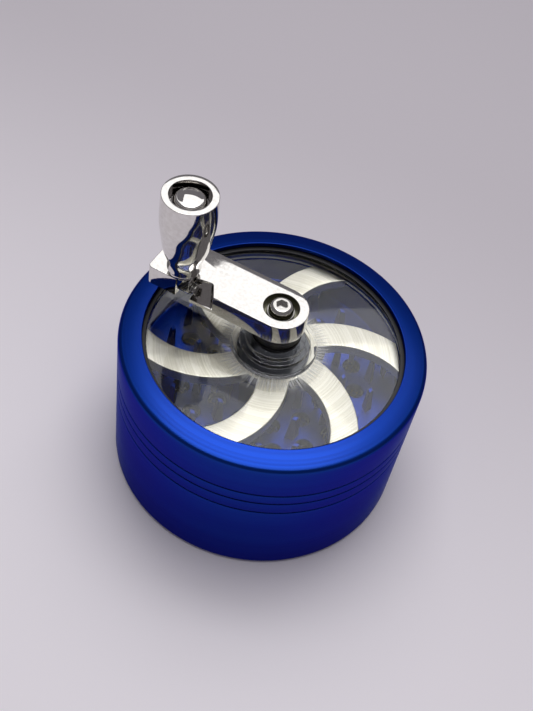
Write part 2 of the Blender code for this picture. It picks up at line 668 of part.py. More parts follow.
def build_arm_screw():
    washer_low = COUNTERBORE_FLOOR + GAP
    washer = (TAPPED_RADIUS, SCREW_HEAD_RADIUS + GAP, washer_low, LOCK_WASHER_TOP)
    ring("lock_washer", *washer, MEDIUM_STEPS, STEEL)
    base = LOCK_WASHER_TOP + GAP
    top = base + SCREW_HEAD_HEIGHT
    tip = base - SCREW_LENGTH
    outline = domed_head(SCREW_HEAD_RADIUS, SCREW_HEAD_HEIGHT, base, SCREW_HEAD_FLAT)
    outline += [(SCREW_RADIUS, base), (SCREW_RADIUS, tip + SCREW_POINT)]
    outline += [(SCREW_RADIUS - SCREW_POINT, tip), (0.0, tip)]
    screw = turned("arm_screw", outline, MEDIUM_STEPS, STEEL)
    floor = top - HEX_SOCKET_DEPTH
    socket = rods("hex_socket_cutter", [(0.0, 0.0)], HEX_SOCKET_RADIUS, floor, top + PASS, 6)
    join(screw, socket, "DIFFERENCE")


# ---- Fold pin ---------------------------------------------------------------------------------
def along_x(obj, x, y, z):
    """Lays a turned piece on its side: its +Z becomes +X, from the given point."""
    obj.rotation_euler = (0.0, math.pi / 2.0, 0.0)
    obj.location = (x, y, z)
    return obj


def build_fold_pin():
    tip = -NOTCH_END - PIN_BITE
    shank = PIN_HEAD_X - tip
    outline = (
        (0.0, shank + PIN_HEAD_LENGTH),
        (PIN_HEAD_RADIUS - PIN_HEAD_EDGE, shank + PIN_HEAD_LENGTH),
        (PIN_HEAD_RADIUS, shank + PIN_HEAD_LENGTH - PIN_HEAD_EDGE),
        (PIN_HEAD_RADIUS, shank),
        (PIN_RADIUS, shank),
        (PIN_RADIUS, 0.0),
        (0.0, 0.0),
    )
    along_x(turned("fold_pin", outline, SMALL_STEPS, STEEL), tip, PIN_OFFSET, PIN_Z)
    flat = (PIN_RADIUS + PRESS, FOLD_WASHER_RADIUS, 0.0, FOLD_WASHER_THICKNESS)
    washer = ring("fold_washer", *flat, SMALL_STEPS, STEEL)
    along_x(washer, FOLD_WASHER_X, PIN_OFFSET, PIN_Z)


# ---- Knob -------------------------------------------------------------------------------------
def knob_outline():
    """The turned barrel's outer side from its rim down to its neck, straight between the stations."""
    points = []
    for i in range(BARREL_STEPS + 1):
        share = 1.0 - i / BARREL_STEPS
        k = max(j for j in range(len(KNOB_STATIONS) - 1) if KNOB_STATIONS[j][0] <= share)
        (low, r_low), (high, r_high) = KNOB_STATIONS[k], KNOB_STATIONS[k + 1]
        part = min(1.0, (share - low) / (high - low))
        points.append((r_low + (r_high - r_low) * part, KNOB_UNDER + KNOB_LENGTH * share))
    return points


def build_knob():
    foot_top = FOOT_UNDER + FOOT_THICKNESS
    outline = (
        (0.0, STUD_TOP),
        (STUD_RADIUS, STUD_TOP),
        (STUD_RADIUS, foot_top),
        (FOOT_RADIUS, foot_top),
        (FOOT_RADIUS, FOOT_UNDER),
        (0.0, FOOT_UNDER),
    )
    stud = move(turned("knob_stud", outline, MEDIUM_STEPS, CHROME), -KNOB_REACH, KNOB_OFFSET)
    low = (TONGUE_OUTER_X, PIN_OFFSET - TONGUE_ROUND, PIN_Z)
    high = (TONGUE_INNER_X, PIN_OFFSET + TONGUE_ROUND, FOOT_UNDER + FOOT_THICKNESS / 2)
    join(stud, bar("tongue_shape", low, high), "UNION")
    pin_line = [(PIN_OFFSET, PIN_Z)]
    eye = rods("tongue_eye_shape", pin_line, TONGUE_ROUND, TONGUE_OUTER_X, TONGUE_INNER_X, MEDIUM_STEPS, True)
    join(stud, eye, "UNION")
    past = (TONGUE_OUTER_X - PASS, TONGUE_INNER_X + PASS)
    join(stud, rods("tongue_hole_cutter", pin_line, PIN_RADIUS + RUN, *past, SMALL_STEPS, True), "DIFFERENCE")
    cap_base = STUD_TOP + GAP
    tapped = (cap_base - CAP_SHANK_LENGTH - GAP, STUD_TOP + PASS)
    axis = [(-KNOB_REACH, KNOB_OFFSET)]
    join(stud, rods("stud_hole_cutter", axis, CAP_SHANK_RADIUS + GAP, *tapped, SMALL_STEPS), "DIFFERENCE")
    bore = STUD_RADIUS + RUN
    sleeve = [(RECESS_RADIUS, KNOB_TOP)] + knob_outline()
    sleeve += [(bore, KNOB_UNDER), (bore, RECESS_FLOOR), (RECESS_RADIUS, RECESS_FLOOR)]
    move(turned("knob_sleeve", sleeve, MEDIUM_STEPS, CHROME), -KNOB_REACH, KNOB_OFFSET)
    dome = domed_head(CAP_HEAD_RADIUS, CAP_HEAD_HEIGHT, cap_base, CAP_HEAD_FLAT)
    low = cap_base - CAP_SHANK_LENGTH
    cap = dome + [(CAP_SHANK_RADIUS, cap_base), (CAP_SHANK_RADIUS, low), (0.0, low)]
    move(turned("knob_screw", cap, SMALL_STEPS, CHROME), -KNOB_REACH, KNOB_OFFSET)


build_catcher_cup()
build_sieve_ring()
build_screen()
build_grinding_plate()
build_lid()
build_window()
build_seals()
build_bush()
build_rotor()
build_thrust_washer()
build_shaft()
build_crank_arm()
build_arm_screw()
build_fold_pin()
build_knob()
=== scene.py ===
"""The finished look of a hand-cranked herb grinder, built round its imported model.

Metres, +Z up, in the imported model's own frame. Every piece here takes its place from the model's boxes,
stands for one of its nodes and rides on that node's body.
"""

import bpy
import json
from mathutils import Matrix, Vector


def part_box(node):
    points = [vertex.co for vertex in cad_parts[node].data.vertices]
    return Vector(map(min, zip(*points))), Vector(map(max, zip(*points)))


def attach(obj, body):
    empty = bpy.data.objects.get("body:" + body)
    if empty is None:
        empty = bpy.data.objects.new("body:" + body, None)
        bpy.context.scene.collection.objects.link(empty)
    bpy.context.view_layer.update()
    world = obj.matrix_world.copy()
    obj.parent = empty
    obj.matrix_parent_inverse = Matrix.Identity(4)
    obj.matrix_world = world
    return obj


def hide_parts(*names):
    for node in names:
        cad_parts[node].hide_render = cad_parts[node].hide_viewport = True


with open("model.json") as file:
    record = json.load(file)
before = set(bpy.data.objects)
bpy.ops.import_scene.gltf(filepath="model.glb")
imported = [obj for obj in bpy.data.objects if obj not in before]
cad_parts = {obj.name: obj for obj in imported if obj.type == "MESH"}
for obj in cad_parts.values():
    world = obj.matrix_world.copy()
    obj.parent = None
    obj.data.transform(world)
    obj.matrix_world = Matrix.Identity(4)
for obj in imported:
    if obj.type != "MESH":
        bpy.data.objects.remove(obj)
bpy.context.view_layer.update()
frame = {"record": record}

import json
import logging
import math
from dataclasses import dataclass
from enum import Enum

import bmesh
import bpy
import numpy as np
from mathutils import Matrix, Vector

LOG = logging.getLogger("herb_grinder")
Tree = bpy.types.NodeTree
Socket = bpy.types.NodeSocket
Spots = tuple[np.ndarray, np.ndarray]  # radii and angles of places in plan
MM = 0.001
TURN = 2.0 * math.pi
SEAT_GAP = 0.3 * MM  # that the model keeps between pieces which touch
RUNNING_GAP = 0.1 * MM  # round a turning shaft
ROUND_STEPS = 256  # facets round the body
SMALL_STEPS = 96  # facets round the knob and other small turned pieces
CORNER_STEPS = 5  # facets in a rounded corner
SHARP_ANGLE = math.radians(32.0)


# ---- Surfaces ---------------------------------------------------------------------------------
@dataclass(frozen=True)
class Surface:
    """Points and four-cornered faces, before they become a mesh.

    Args:
        points: (n, 3) array of places in metres.
        faces: (m, 4) array of point numbers. Corners that fall together are merged later.
    """

    points: np.ndarray
    faces: np.ndarray

    def shifted(self, x: float, y: float, z: float = 0.0) -> "Surface":
        """The same surface, moved."""
        return Surface(self.points + np.array((x, y, z)), self.faces)

    def laid_along_x(self) -> "Surface":
        """The same surface with its +Z turned to +X."""
        x, y, z = self.points.T
        return Surface(np.stack((z, y, -x), axis=1), self.faces)


def together(*surfaces: Surface) -> Surface:
    """Several surfaces as one.

    Args:
        surfaces: the surfaces, which stay separate shells.

    Returns:
        One surface that holds them all.
    """
    counts = np.cumsum([0] + [len(part.points) for part in surfaces[:-1]])
    faces = [part.faces + first for part, first in zip(surfaces, counts)]
    return Surface(np.concatenate([part.points for part in surfaces]), np.concatenate(faces))


def grid(points: np.ndarray, wrap_rows: bool = False, wrap_columns: bool = True) -> Surface:
    """Faces between neighbouring rows and columns of points.

    Args:
        points: (rows, columns, 3) array.
        wrap_rows: True joins the last row to the first.
        wrap_columns: True joins the last column to the first.

    Returns:
        The surface through the points.
    """
    rows, columns = points.shape[:2]
    ids = np.arange(rows * columns).reshape(rows, columns)
    if wrap_rows:
        ids = np.vstack((ids, ids[:1]))
    if wrap_columns:
        ids = np.hstack((ids, ids[:, :1]))
    faces = np.stack((ids[:-1, :-1], ids[1:, :-1], ids[1:, 1:], ids[:-1, 1:]), axis=-1)
    return Surface(points.reshape(-1, 3), faces.reshape(-1, 4))


def rounded(corners: list[tuple[float, float, float]], closed: bool = True) -> np.ndarray:
    """An outline with rounded corners.

    Each corner gives way to a parabola from a point on one side of it to a point on the other:
    (1 - t)^2 start + 2 t (1 - t) corner + t^2 end. Both points lie at the corner's own reach from it,
    and never further than just under half of the shorter side.

    Args:
        corners: (across, up, reach) of each corner.
        closed: False keeps the first and the last corner as they are.

    Returns:
        (n, 2) array of points in order.
    """
    spec = np.asarray(corners, dtype=float)
    spots = spec[:, :2]
    to_last = np.roll(spots, 1, axis=0) - spots
    to_next = np.roll(spots, -1, axis=0) - spots
    last_side = np.linalg.norm(to_last, axis=1)
    next_side = np.linalg.norm(to_next, axis=1)
    reach = np.minimum(spec[:, 2], 0.49 * np.minimum(last_side, next_side))
    if not closed:
        reach[[0, -1]] = 0.0
    start = spots + to_last * (reach / last_side)[:, None]
    end = spots + to_next * (reach / next_side)[:, None]
    t = np.linspace(0.0, 1.0, CORNER_STEPS + 1)[None, :, None]
    curve = (1.0 - t) ** 2 * start[:, None] + 2.0 * t * (1.0 - t) * spots[:, None] + t**2 * end[:, None]
    points = curve.reshape(-1, 2)
    moved = np.linalg.norm(points - np.roll(points, 1, axis=0), axis=1) > 1e-8
    moved[0] = moved[0] or not closed
    return points[moved]


def lathe(outline: np.ndarray, steps: int = ROUND_STEPS, closed: bool = True) -> Surface:
    """A turned shape: each (radius, height) becomes (radius cos a, radius sin a, height) for a full turn.

    Args:
        outline: (n, 2) array of radius and height.
        steps: facets round the axis.
        closed: True for a ring, False for an outline that starts and ends on the axis.

    Returns:
        The surface of revolution about Z.
    """
    angle = np.arange(steps) * TURN / steps
    radius, height = outline[:, :1], outline[:, 1:]
    level = np.broadcast_to(height, (len(outline), steps))
    points = np.stack((radius * np.cos(angle), radius * np.sin(angle), level), axis=-1)
    return grid(points, wrap_rows=closed)


def turned_solid(*corners: tuple[float, float, float], steps: int = ROUND_STEPS) -> Surface:
    """A solid turned shape about Z, which starts and ends on the axis, level with its end corners.

    Args:
        corners: (radius, height, reach) of each corner, from above downwards.
        steps: facets round the axis.

    Returns:
        The surface of revolution.
    """
    first, last = (0.0, corners[0][1], 0.0), (0.0, corners[-1][1], 0.0)
    return lathe(rounded([first, *corners, last], closed=False), steps, closed=False)


def ring_of(inner: float, outer: float, low: float, high: float, edge: float) -> np.ndarray:
    """The outline of a flat ring with rounded edges."""
    return rounded([(outer, high, edge), (outer, low, edge), (inner, low, edge), (inner, high, edge)])


def inward(outline: np.ndarray) -> np.ndarray:
    """How far each point of a counter-clockwise outline moves when every side moves in by one.

    The two sides' inward normals a and b give (a + b) / (1 + a.b), which is their mitre.
    """
    side = np.roll(outline, -1, axis=0) - outline
    side /= np.linalg.norm(side, axis=1)[:, None]
    after = np.stack((-side[:, 1], side[:, 0]), axis=1)
    before = np.roll(after, 1, axis=0)
    return (after + before) / (1.0 + np.sum(after * before, axis=1))[:, None]


def plate(outline: np.ndarray, edge: np.ndarray) -> Surface:
    """A flat piece with a shaped edge: at each height of the edge the outline is drawn in by its inset.

    Args:
        outline: (n, 2) counter-clockwise outline.
        edge: (m, 2) array of inset and height, from below upwards.

    Returns:
        The side surface. Its two open ends are closed when it becomes a mesh.
    """
    flat = outline[None] + edge[:, 0, None, None] * inward(outline)[None]
    height = np.broadcast_to(edge[:, 1, None, None], (*flat.shape[:2], 1))
    return grid(np.concatenate((flat, height), axis=-1))


def soft_edge(low: float, high: float, below: float, above: float) -> np.ndarray:
    """Inset and height of an edge that is rounded below and above by quarter circles."""
    turn = np.linspace(0.0, math.pi / 2.0, CORNER_STEPS + 1)
    lower = np.stack((below * (1.0 - np.sin(turn)), low + below * (1.0 - np.cos(turn))), axis=1)
    upper = np.stack((above * (1.0 - np.cos(turn)), high - above * (1.0 - np.sin(turn))), axis=1)
    return np.concatenate((lower, upper))


def box_surface(low: tuple[float, float, float], high: tuple[float, float, float]) -> Surface:
    """A plain block between two corners, which only cuts or joins."""
    outline = np.array(((low[0], low[1]), (high[0], low[1]), (high[0], high[1]), (low[0], high[1])))
    return plate(outline, np.array(((0.0, low[2]), (0.0, high[2]))))


def rod(radius: float, low: float, high: float, steps: int = 48) -> Surface:
    """A plain round bar about Z, which only cuts or joins."""
    return lathe(np.array(((0.0, high), (radius, high), (radius, low), (0.0, low))), steps, closed=False)


def arc(x: float, y: float, radius: float, start: float, end: float, count: int) -> np.ndarray:
    """Points of a circular arc from one angle to another."""
    turn = np.linspace(start, end, count)
    return np.stack((x + radius * np.cos(turn), y + radius * np.sin(turn)), axis=1)


def turned_copies(points: np.ndarray, angles: np.ndarray) -> np.ndarray:
    """Copies of points turned about Z.

    Args:
        points: (n, 3) array.
        angles: (k,) array of radians.

    Returns:
        (k, n, 3) array: x cos a - y sin a, x sin a + y cos a, z.
    """
    cosine, sine = np.cos(angles)[:, None], np.sin(angles)[:, None]
    x, y, z = points.T
    height = np.broadcast_to(z, (len(angles), len(points)))
    return np.stack((x * cosine - y * sine, x * sine + y * cosine, height), axis=-1)


# ---- Solids -----------------------------------------------------------------------------------
class Joining(Enum):
    """How one solid changes another."""

    ADD = "UNION"
    TAKE = "DIFFERENCE"
    KEEP = "INTERSECT"


class Solid:
    """A closed mesh object, worked on until it is finished."""

    def __init__(self, name: str, surface: Surface) -> None:
        """Makes the mesh.

        Args:
            name: the object's name.
            surface: its surface. Points nearer than a ten-thousandth of a millimetre are merged,
                faces that lose their area go, open ends are filled and all faces turn outwards.
        """
        keys = np.round(surface.points / (1e-4 * MM)).astype(np.int64)
        _, first, number = np.unique(keys, axis=0, return_index=True, return_inverse=True)
        faces = number.reshape(-1)[surface.faces]
        own = faces != np.roll(faces, 1, axis=1)
        corners = own.sum(axis=1)
        quads = faces[corners == 4]
        triangles = faces[corners == 3][own[corners == 3]].reshape(-1, 3)
        mesh = bpy.data.meshes.new(name)
        mesh.from_pydata(surface.points[first].tolist(), [], quads.tolist() + triangles.tolist())
        made = bmesh.new()
        made.from_mesh(mesh)
        bmesh.ops.holes_fill(made, edges=made.edges[:], sides=0)
        bmesh.ops.recalc_face_normals(made, faces=made.faces[:])
        made.to_mesh(mesh)
        made.free()
        self.object = bpy.data.objects.new(name, mesh)
        bpy.context.scene.collection.objects.link(self.object)

    def joined(self, shape: "Surface | Solid", how: Joining) -> "Solid":
        """Adds, takes away or keeps only what another closed shape encloses.

        Args:
            shape: a closed surface, or a solid, which is used up.
            how: what to do with it.

        Returns:
            This solid, changed.
        """
        other = shape if isinstance(shape, Solid) else Solid("tool", shape)
        step = self.object.modifiers.new("Join", "BOOLEAN")
        step.operation = how.value
        step.solver = "EXACT"
        step.object = other.object
        seen = self.object.evaluated_get(bpy.context.evaluated_depsgraph_get())
        mesh = bpy.data.meshes.new_from_object(seen)
        self.object.modifiers.clear()
        before = self.object.data
        self.object.data = mesh
        bpy.data.meshes.remove(before)
        used = other.object.data
        bpy.data.objects.remove(other.object)
        bpy.data.meshes.remove(used)
        mesh.name = self.object.name
        return self


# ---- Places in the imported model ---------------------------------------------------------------
@dataclass(frozen=True)
class Extent:
    """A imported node's box, as the middle of its plan, its half sizes and its heights."""

    x: float
    y: float
    half_x: float
    half_y: float
    low: float
    high: float

    @classmethod
    def of(cls, node: str) -> "Extent":
        """The extent of the named node."""
        low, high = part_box(node)
        middle = (low + high) / 2.0
        half = (high - low) / 2.0
        return cls(middle.x, middle.y, half.x, half.y, low.z, high.z)


BODY_OF = {node: body for body, nodes in frame["record"]["behaviour"]["bodies"].items() for node in nodes}


def stand_in(node: str, shape: Surface | Solid, finish: "Finish") -> bpy.types.Object:
    """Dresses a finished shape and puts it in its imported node's place.

    Args:
        node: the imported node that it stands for.
        shape: its closed surface, or the finished solid.
        finish: its surface finish.

    Returns:
        The object, riding on the node's body.
    """
    solid = shape if isinstance(shape, Solid) else Solid(node, shape)
    piece = solid.object
    piece.name = f"fine_{node}"
    piece.data.name = piece.name
    piece.data.shade_smooth()
    piece.data.set_sharp_from_angle(angle=SHARP_ANGLE)
    piece.data.materials.clear()
    piece.data.materials.append(finish.material(piece.name))
    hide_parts(node)
    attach(piece, BODY_OF[node])
    LOG.info("%s: %d faces on body %s", piece.name, len(piece.data.polygons), BODY_OF[node])
    return piece


# ---- Finishes ---------------------------------------------------------------------------------
def linear(code: str) -> tuple[float, float, float, float]:
    """The linear colour of an sRGB hex code such as "#1a2b3c"."""
    parts = [int(code[i : i + 2], 16) / 255.0 for i in (1, 3, 5)]
    return (*(c / 12.92 if c <= 0.04045 else ((c + 0.055) / 1.055) ** 2.4 for c in parts), 1.0)


def add(tree: Tree, kind: str, inputs: dict | None = None, **settings: object) -> bpy.types.Node:
    """Adds a node.

    Args:
        tree: the material's node tree.
        kind: the node's type name.
        inputs: sockets or values for its inputs, by name or number.
        settings: the node's own settings.

    Returns:
        The node.
    """
    node = tree.nodes.new(kind)
    for key, value in settings.items():
        setattr(node, key, value)
    for key, value in (inputs or {}).items():
        if isinstance(value, Socket):
            tree.links.new(value, node.inputs[key])
        else:
            node.inputs[key].default_value = value
    return node


@dataclass(frozen=True)
class Finish:
    """A surface finish: a Principled surface whose colour, roughness and relief come from patterns."""

    name: str
    color: str
    roughness: float
    metallic: float = 0.0

    def material(self, piece: str) -> bpy.types.Material:
        """The finish as a material of the named piece's own."""
        made = bpy.data.materials.new(f"{piece}_{self.name}")
        made.use_nodes = True
        made.node_tree.nodes.clear()
        shader = self.shader(made.node_tree)
        add(made.node_tree, "ShaderNodeOutputMaterial", {"Surface": shader})
        made.diffuse_color = linear(self.color)
        return made

    def shader(self, tree: Tree) -> Socket:
        """Builds the finish in a node tree and returns its shader socket."""
        raise NotImplementedError

    def principled(self, tree: Tree, inputs: dict) -> Socket:
        """A Principled shader with this finish's colour, metallic value and roughness, and more inputs."""
        plain = {"Base Color": linear(self.color), "Metallic": self.metallic, "Roughness": self.roughness}
        return add(tree, "ShaderNodeBsdfPrincipled", plain | inputs).outputs[0]


def axis_distance(tree: Tree, spot: Socket) -> Socket:
    """The distance of a place from the Z axis."""
    flat = add(tree, "ShaderNodeVectorMath", {0: spot, 1: (1.0, 1.0, 0.0)}, operation="MULTIPLY").outputs[0]
    return add(tree, "ShaderNodeVectorMath", {0: flat}, operation="LENGTH").outputs["Value"]


def turned_height(tree: Tree, spacing: float, x: float = 0.0, y: float = 0.0) -> Socket:
    """Fine lines that a lathe tool leaves: noise over distance from the axis and height alone.

    Args:
        tree: the node tree.
        spacing: between lines, in metres.
        x: the axis's place.
        y: the axis's place.

    Returns:
        A socket that runs from 0 to 1 and is the same all round the axis.
    """
    spot = add(tree, "ShaderNodeTexCoord").outputs["Object"]
    centred = add(tree, "ShaderNodeVectorMath", {0: spot, 1: (x, y, 0.0)}, operation="SUBTRACT").outputs[0]
    radius = axis_distance(tree, centred)
    height = add(tree, "ShaderNodeSeparateXYZ", {0: centred}).outputs["Z"]
    place = add(tree, "ShaderNodeCombineXYZ", {"X": radius, "Y": height}).outputs[0]
    lines = {"Vector": place, "Scale": 1.0 / spacing, "Detail": 3.0, "Roughness": 0.65}
    return add(tree, "ShaderNodeTexNoise", lines, noise_dimensions="2D").outputs["Fac"]


def spread(tree: Tree, value: Socket, low: float, high: float) -> Socket:
    """A 0 to 1 pattern spread between two values, with its middle stretched."""
    ends = {"Value": value, "From Min": 0.3, "From Max": 0.7, "To Min": low, "To Max": high}
    return add(tree, "ShaderNodeMapRange", ends).outputs[0]


def relief(tree: Tree, height: Socket, depth: float) -> Socket:
    """A bump of the given depth in metres from a 0 to 1 height."""
    return add(tree, "ShaderNodeBump", {"Strength": 1.0, "Distance": depth, "Height": height}).outputs[0]


def tinted(tree: Tree, value: Socket, first: str, second: str) -> Socket:
    """A colour that runs from one hex code to another with a 0 to 1 value."""
    ends = {0: value, 6: linear(first), 7: linear(second)}
    return add(tree, "ShaderNodeMix", ends, data_type="RGBA").outputs[2]


@dataclass(frozen=True)
class AnodisedAluminium(Finish):
    """Aluminium, satin turned, dyed deep blue and sealed.

    The dye makes the metal's own reflection deep blue. The hard clear oxide over it adds a thin
    neutral gloss that shows most at a slant. Turning lines run round the axis.
    """

    name: str = "blue_anodised_aluminium"
    color: str = "#0b3690"
    roughness: float = 0.34
    metallic: float = 1.0
    deep_color: str = "#082c88"
    line_spacing: float = 0.45 * MM  # real lines are nearer 0.1 mm, too fine to see here
    line_depth: float = 0.0025 * MM
    coat: float = 0.09
    coat_roughness: float = 0.22
    oxide_ior: float = 1.60
    edge_tint: str = "#6c84d8"

    def shader(self, tree: Tree) -> Socket:
        """Dyed metal with turning lines under a clear oxide."""
        lines = turned_height(tree, self.line_spacing)
        sweep = turned_height(tree, self.line_spacing * 9.0)
        bump = relief(tree, lines, self.line_depth)
        inputs = {
            "Base Color": tinted(tree, spread(tree, sweep, 0.0, 1.0), self.color, self.deep_color),
            "Roughness": spread(tree, lines, self.roughness - 0.05, self.roughness + 0.06),
            "Normal": bump,
            "Coat Weight": self.coat,
            "Coat Roughness": self.coat_roughness,
            "Coat IOR": self.oxide_ior,
            "Specular Tint": linear(self.edge_tint),
        }
        return self.principled(tree, inputs)


@dataclass(frozen=True)
class MachinedAluminium(Finish):
    """Bare aluminium faced in a lathe: bright, slightly warm, with fine marks round the axis."""

    name: str = "bare_machined_aluminium"
    color: str = "#e6decb"
    roughness: float = 0.42
    metallic: float = 1.0
    worn_color: str = "#c8bfa8"
    line_spacing: float = 0.30 * MM
    line_depth: float = 0.006 * MM

    def shader(self, tree: Tree) -> Socket:
        """Warm bright metal with turning lines in its colour, gloss and relief."""
        lines = turned_height(tree, self.line_spacing)
        inputs = {
            "Base Color": tinted(tree, spread(tree, lines, 0.0, 1.0), self.color, self.worn_color),
            "Roughness": spread(tree, lines, self.roughness - 0.10, self.roughness + 0.10),
            "Normal": relief(tree, lines, self.line_depth),
        }
        return self.principled(tree, inputs)


@dataclass(frozen=True)
class TurnedSteel(Finish):
    """Small turned parts of steel, bare or blackened, with lines round their own axis."""

    name: str = "turned_stainless_steel"
    color: str = "#9c9a96"
    roughness: float = 0.24
    metallic: float = 1.0
    shade_color: str = "#7f7d79"
    axis_x: float = 0.0
    axis_y: float = 0.0
    line_spacing: float = 0.22 * MM
    line_depth: float = 0.004 * MM

    def shader(self, tree: Tree) -> Socket:
        """Grey metal with turning lines."""
        lines = turned_height(tree, self.line_spacing, self.axis_x, self.axis_y)
        inputs = {
            "Base Color": tinted(tree, spread(tree, lines, 0.0, 1.0), self.color, self.shade_color),
            "Roughness": spread(tree, lines, self.roughness - 0.06, self.roughness + 0.08),
            "Normal": relief(tree, lines, self.line_depth),
        }
        return self.principled(tree, inputs)


@dataclass(frozen=True)
class ChromePlate(Finish):
    """Decorative chrome on polished zinc: a near mirror with faint waves left by hand polishing."""

    name: str = "chrome_plate"
    color: str = "#dddbd8"
    roughness: float = 0.05
    metallic: float = 1.0
    haze_color: str = "#cfccc8"
    wave_length: float = 3.2 * MM
    wave_depth: float = 0.010 * MM

    def shader(self, tree: Tree) -> Socket:
        """A mirror with slow waves and a little haze."""
        spot = add(tree, "ShaderNodeTexCoord").outputs["Object"]
        slow = {"Vector": spot, "Scale": 1.0 / self.wave_length, "Detail": 1.0}
        waves = add(tree, "ShaderNodeTexNoise", slow).outputs["Fac"]
        fine = {"Vector": spot, "Scale": 4.0 / self.wave_length, "Detail": 4.0}
        haze = add(tree, "ShaderNodeTexNoise", fine).outputs["Fac"]
        inputs = {
            "Base Color": tinted(tree, spread(tree, haze, 0.0, 1.0), self.color, self.haze_color),
            "Roughness": spread(tree, haze, self.roughness - 0.02, self.roughness + 0.03),
            "Normal": relief(tree, waves, self.wave_depth),
        }
        return self.principled(tree, inputs)


@dataclass(frozen=True)
class BoredChrome(ChromePlate):
    """Chrome plate over a part whose counterbore keeps the tool's rings and the plating leaves dull."""

    bore_color: str = "#9a9884"
    bore_shade: str = "#4a493f"
    bore_radius: float = 3.7 * MM
    ring_spacing: float = 0.45 * MM
    ring_depth: float = 0.03 * MM
    top_skin: float = 0.02 * MM  # of the arm's top that stays bright

    def shader(self, tree: Tree) -> Socket:
        """Plain chrome, but dull ringed metal within the counterbore's radius and below the arm's top."""
        rings = turned_height(tree, self.ring_spacing)
        dull = {
            "Base Color": tinted(tree, spread(tree, rings, 0.0, 1.0), self.bore_color, self.bore_shade),
            "Roughness": 0.3,
            "Normal": relief(tree, rings, self.ring_depth),
        }
        spot = add(tree, "ShaderNodeTexCoord").outputs["Object"]
        within = {0: axis_distance(tree, spot), 1: self.bore_radius}
        inside = add(tree, "ShaderNodeMath", within, operation="LESS_THAN")
        height = add(tree, "ShaderNodeSeparateXYZ", {0: spot}).outputs["Z"]
        top = Extent.of("crank_arm").high - self.top_skin
        below = add(tree, "ShaderNodeMath", {0: height, 1: top}, operation="LESS_THAN")
        mask = {0: inside.outputs[0], 1: below.outputs[0]}
        amount = add(tree, "ShaderNodeMath", mask, operation="MULTIPLY").outputs[0]
        parts = {0: amount, 1: super().shader(tree), 2: self.principled(tree, dull)}
        return add(tree, "ShaderNodeMixShader", parts).outputs[0]


@dataclass(frozen=True)
class ClearAcrylic(Finish):
    """Moulded clear acrylic, polished. It passes lamps' light straight through, as a thin sheet nearly does.

    Fine pale and dark radial streaks, a thin diffuse scatter, run outwards from the boss in a narrow ring.
    """

    name: str = "clear_acrylic"
    color: str = "#f4f7fb"
    roughness: float = 0.03
    acrylic_ior: float = 1.49
    mark_start: float = 8.8 * MM
    mark_end: float = 12.5 * MM
    mark_count: float = 46.0
    mark_color: str = "#f2f0ea"
    mark_shade: str = "#26272c"
    mark_strength: float = 0.85

    def shader(self, tree: Tree) -> Socket:
        """Clear bending plastic, with radial streaks as a thin pale and dark diffuse scatter, and open to
        shadow rays.
        """
        clear = {"Transmission Weight": 1.0, "IOR": self.acrylic_ior, "Roughness": self.roughness}
        amount, pale = self.radial_streaks(tree)
        color = tinted(tree, pale, self.mark_shade, self.mark_color)
        marks = add(tree, "ShaderNodeBsdfDiffuse", {"Color": color}).outputs[0]
        parts = {0: amount, 1: self.principled(tree, clear), 2: marks}
        surface = add(tree, "ShaderNodeMixShader", parts).outputs[0]
        open_way = add(tree, "ShaderNodeBsdfTransparent", {"Color": linear(self.color)}).outputs[0]
        shadow = add(tree, "ShaderNodeLightPath").outputs["Is Shadow Ray"]
        return add(tree, "ShaderNodeMixShader", {0: shadow, 1: surface, 2: open_way}).outputs[0]

    def radial_streaks(self, tree: Tree) -> tuple[Socket, Socket]:
        """Where the marks are, and how pale: two noises over the angle alone, within a narrow ring."""
        spot = add(tree, "ShaderNodeTexCoord").outputs["Object"]
        axes = add(tree, "ShaderNodeSeparateXYZ", {0: spot}).outputs
        angle = add(tree, "ShaderNodeMath", {0: axes["Y"], 1: axes["X"]}, operation="ARCTAN2").outputs[0]
        radius = axis_distance(tree, spot)
        place = add(tree, "ShaderNodeCombineXYZ", {"X": angle}).outputs[0]
        hairs = {"Vector": place, "Scale": self.mark_count / 2.0, "Detail": 4.0, "Roughness": 0.8}
        hair = add(tree, "ShaderNodeTexNoise", hairs, noise_dimensions="2D").outputs["Fac"]
        pale_hairs = hairs | {"Scale": self.mark_count}
        pale = add(tree, "ShaderNodeTexNoise", pale_hairs, noise_dimensions="2D").outputs["Fac"]
        ends = {"Value": radius, "From Min": self.mark_start, "From Max": self.mark_end}
        ends |= {"To Min": 1.0, "To Max": 0.0}
        fade = add(tree, "ShaderNodeMapRange", ends, interpolation_type="SMOOTHSTEP").outputs[0]
        begun = {0: radius, 1: self.mark_start}
        outside = add(tree, "ShaderNodeMath", begun, operation="GREATER_THAN").outputs[0]
        shape = add(tree, "ShaderNodeMath", {0: fade, 1: outside}, operation="MULTIPLY").outputs[0]
        thin = {"Value": hair, "From Min": 0.47, "From Max": 0.60, "To Max": self.mark_strength}
        cover = add(tree, "ShaderNodeMapRange", thin).outputs[0]
        amount = add(tree, "ShaderNodeMath", {0: shape, 1: cover}, operation="MULTIPLY").outputs[0]
        ramp = {"Value": pale, "From Min": 0.46, "From Max": 0.54}
        return amount, add(tree, "ShaderNodeMapRange", ramp).outputs[0]


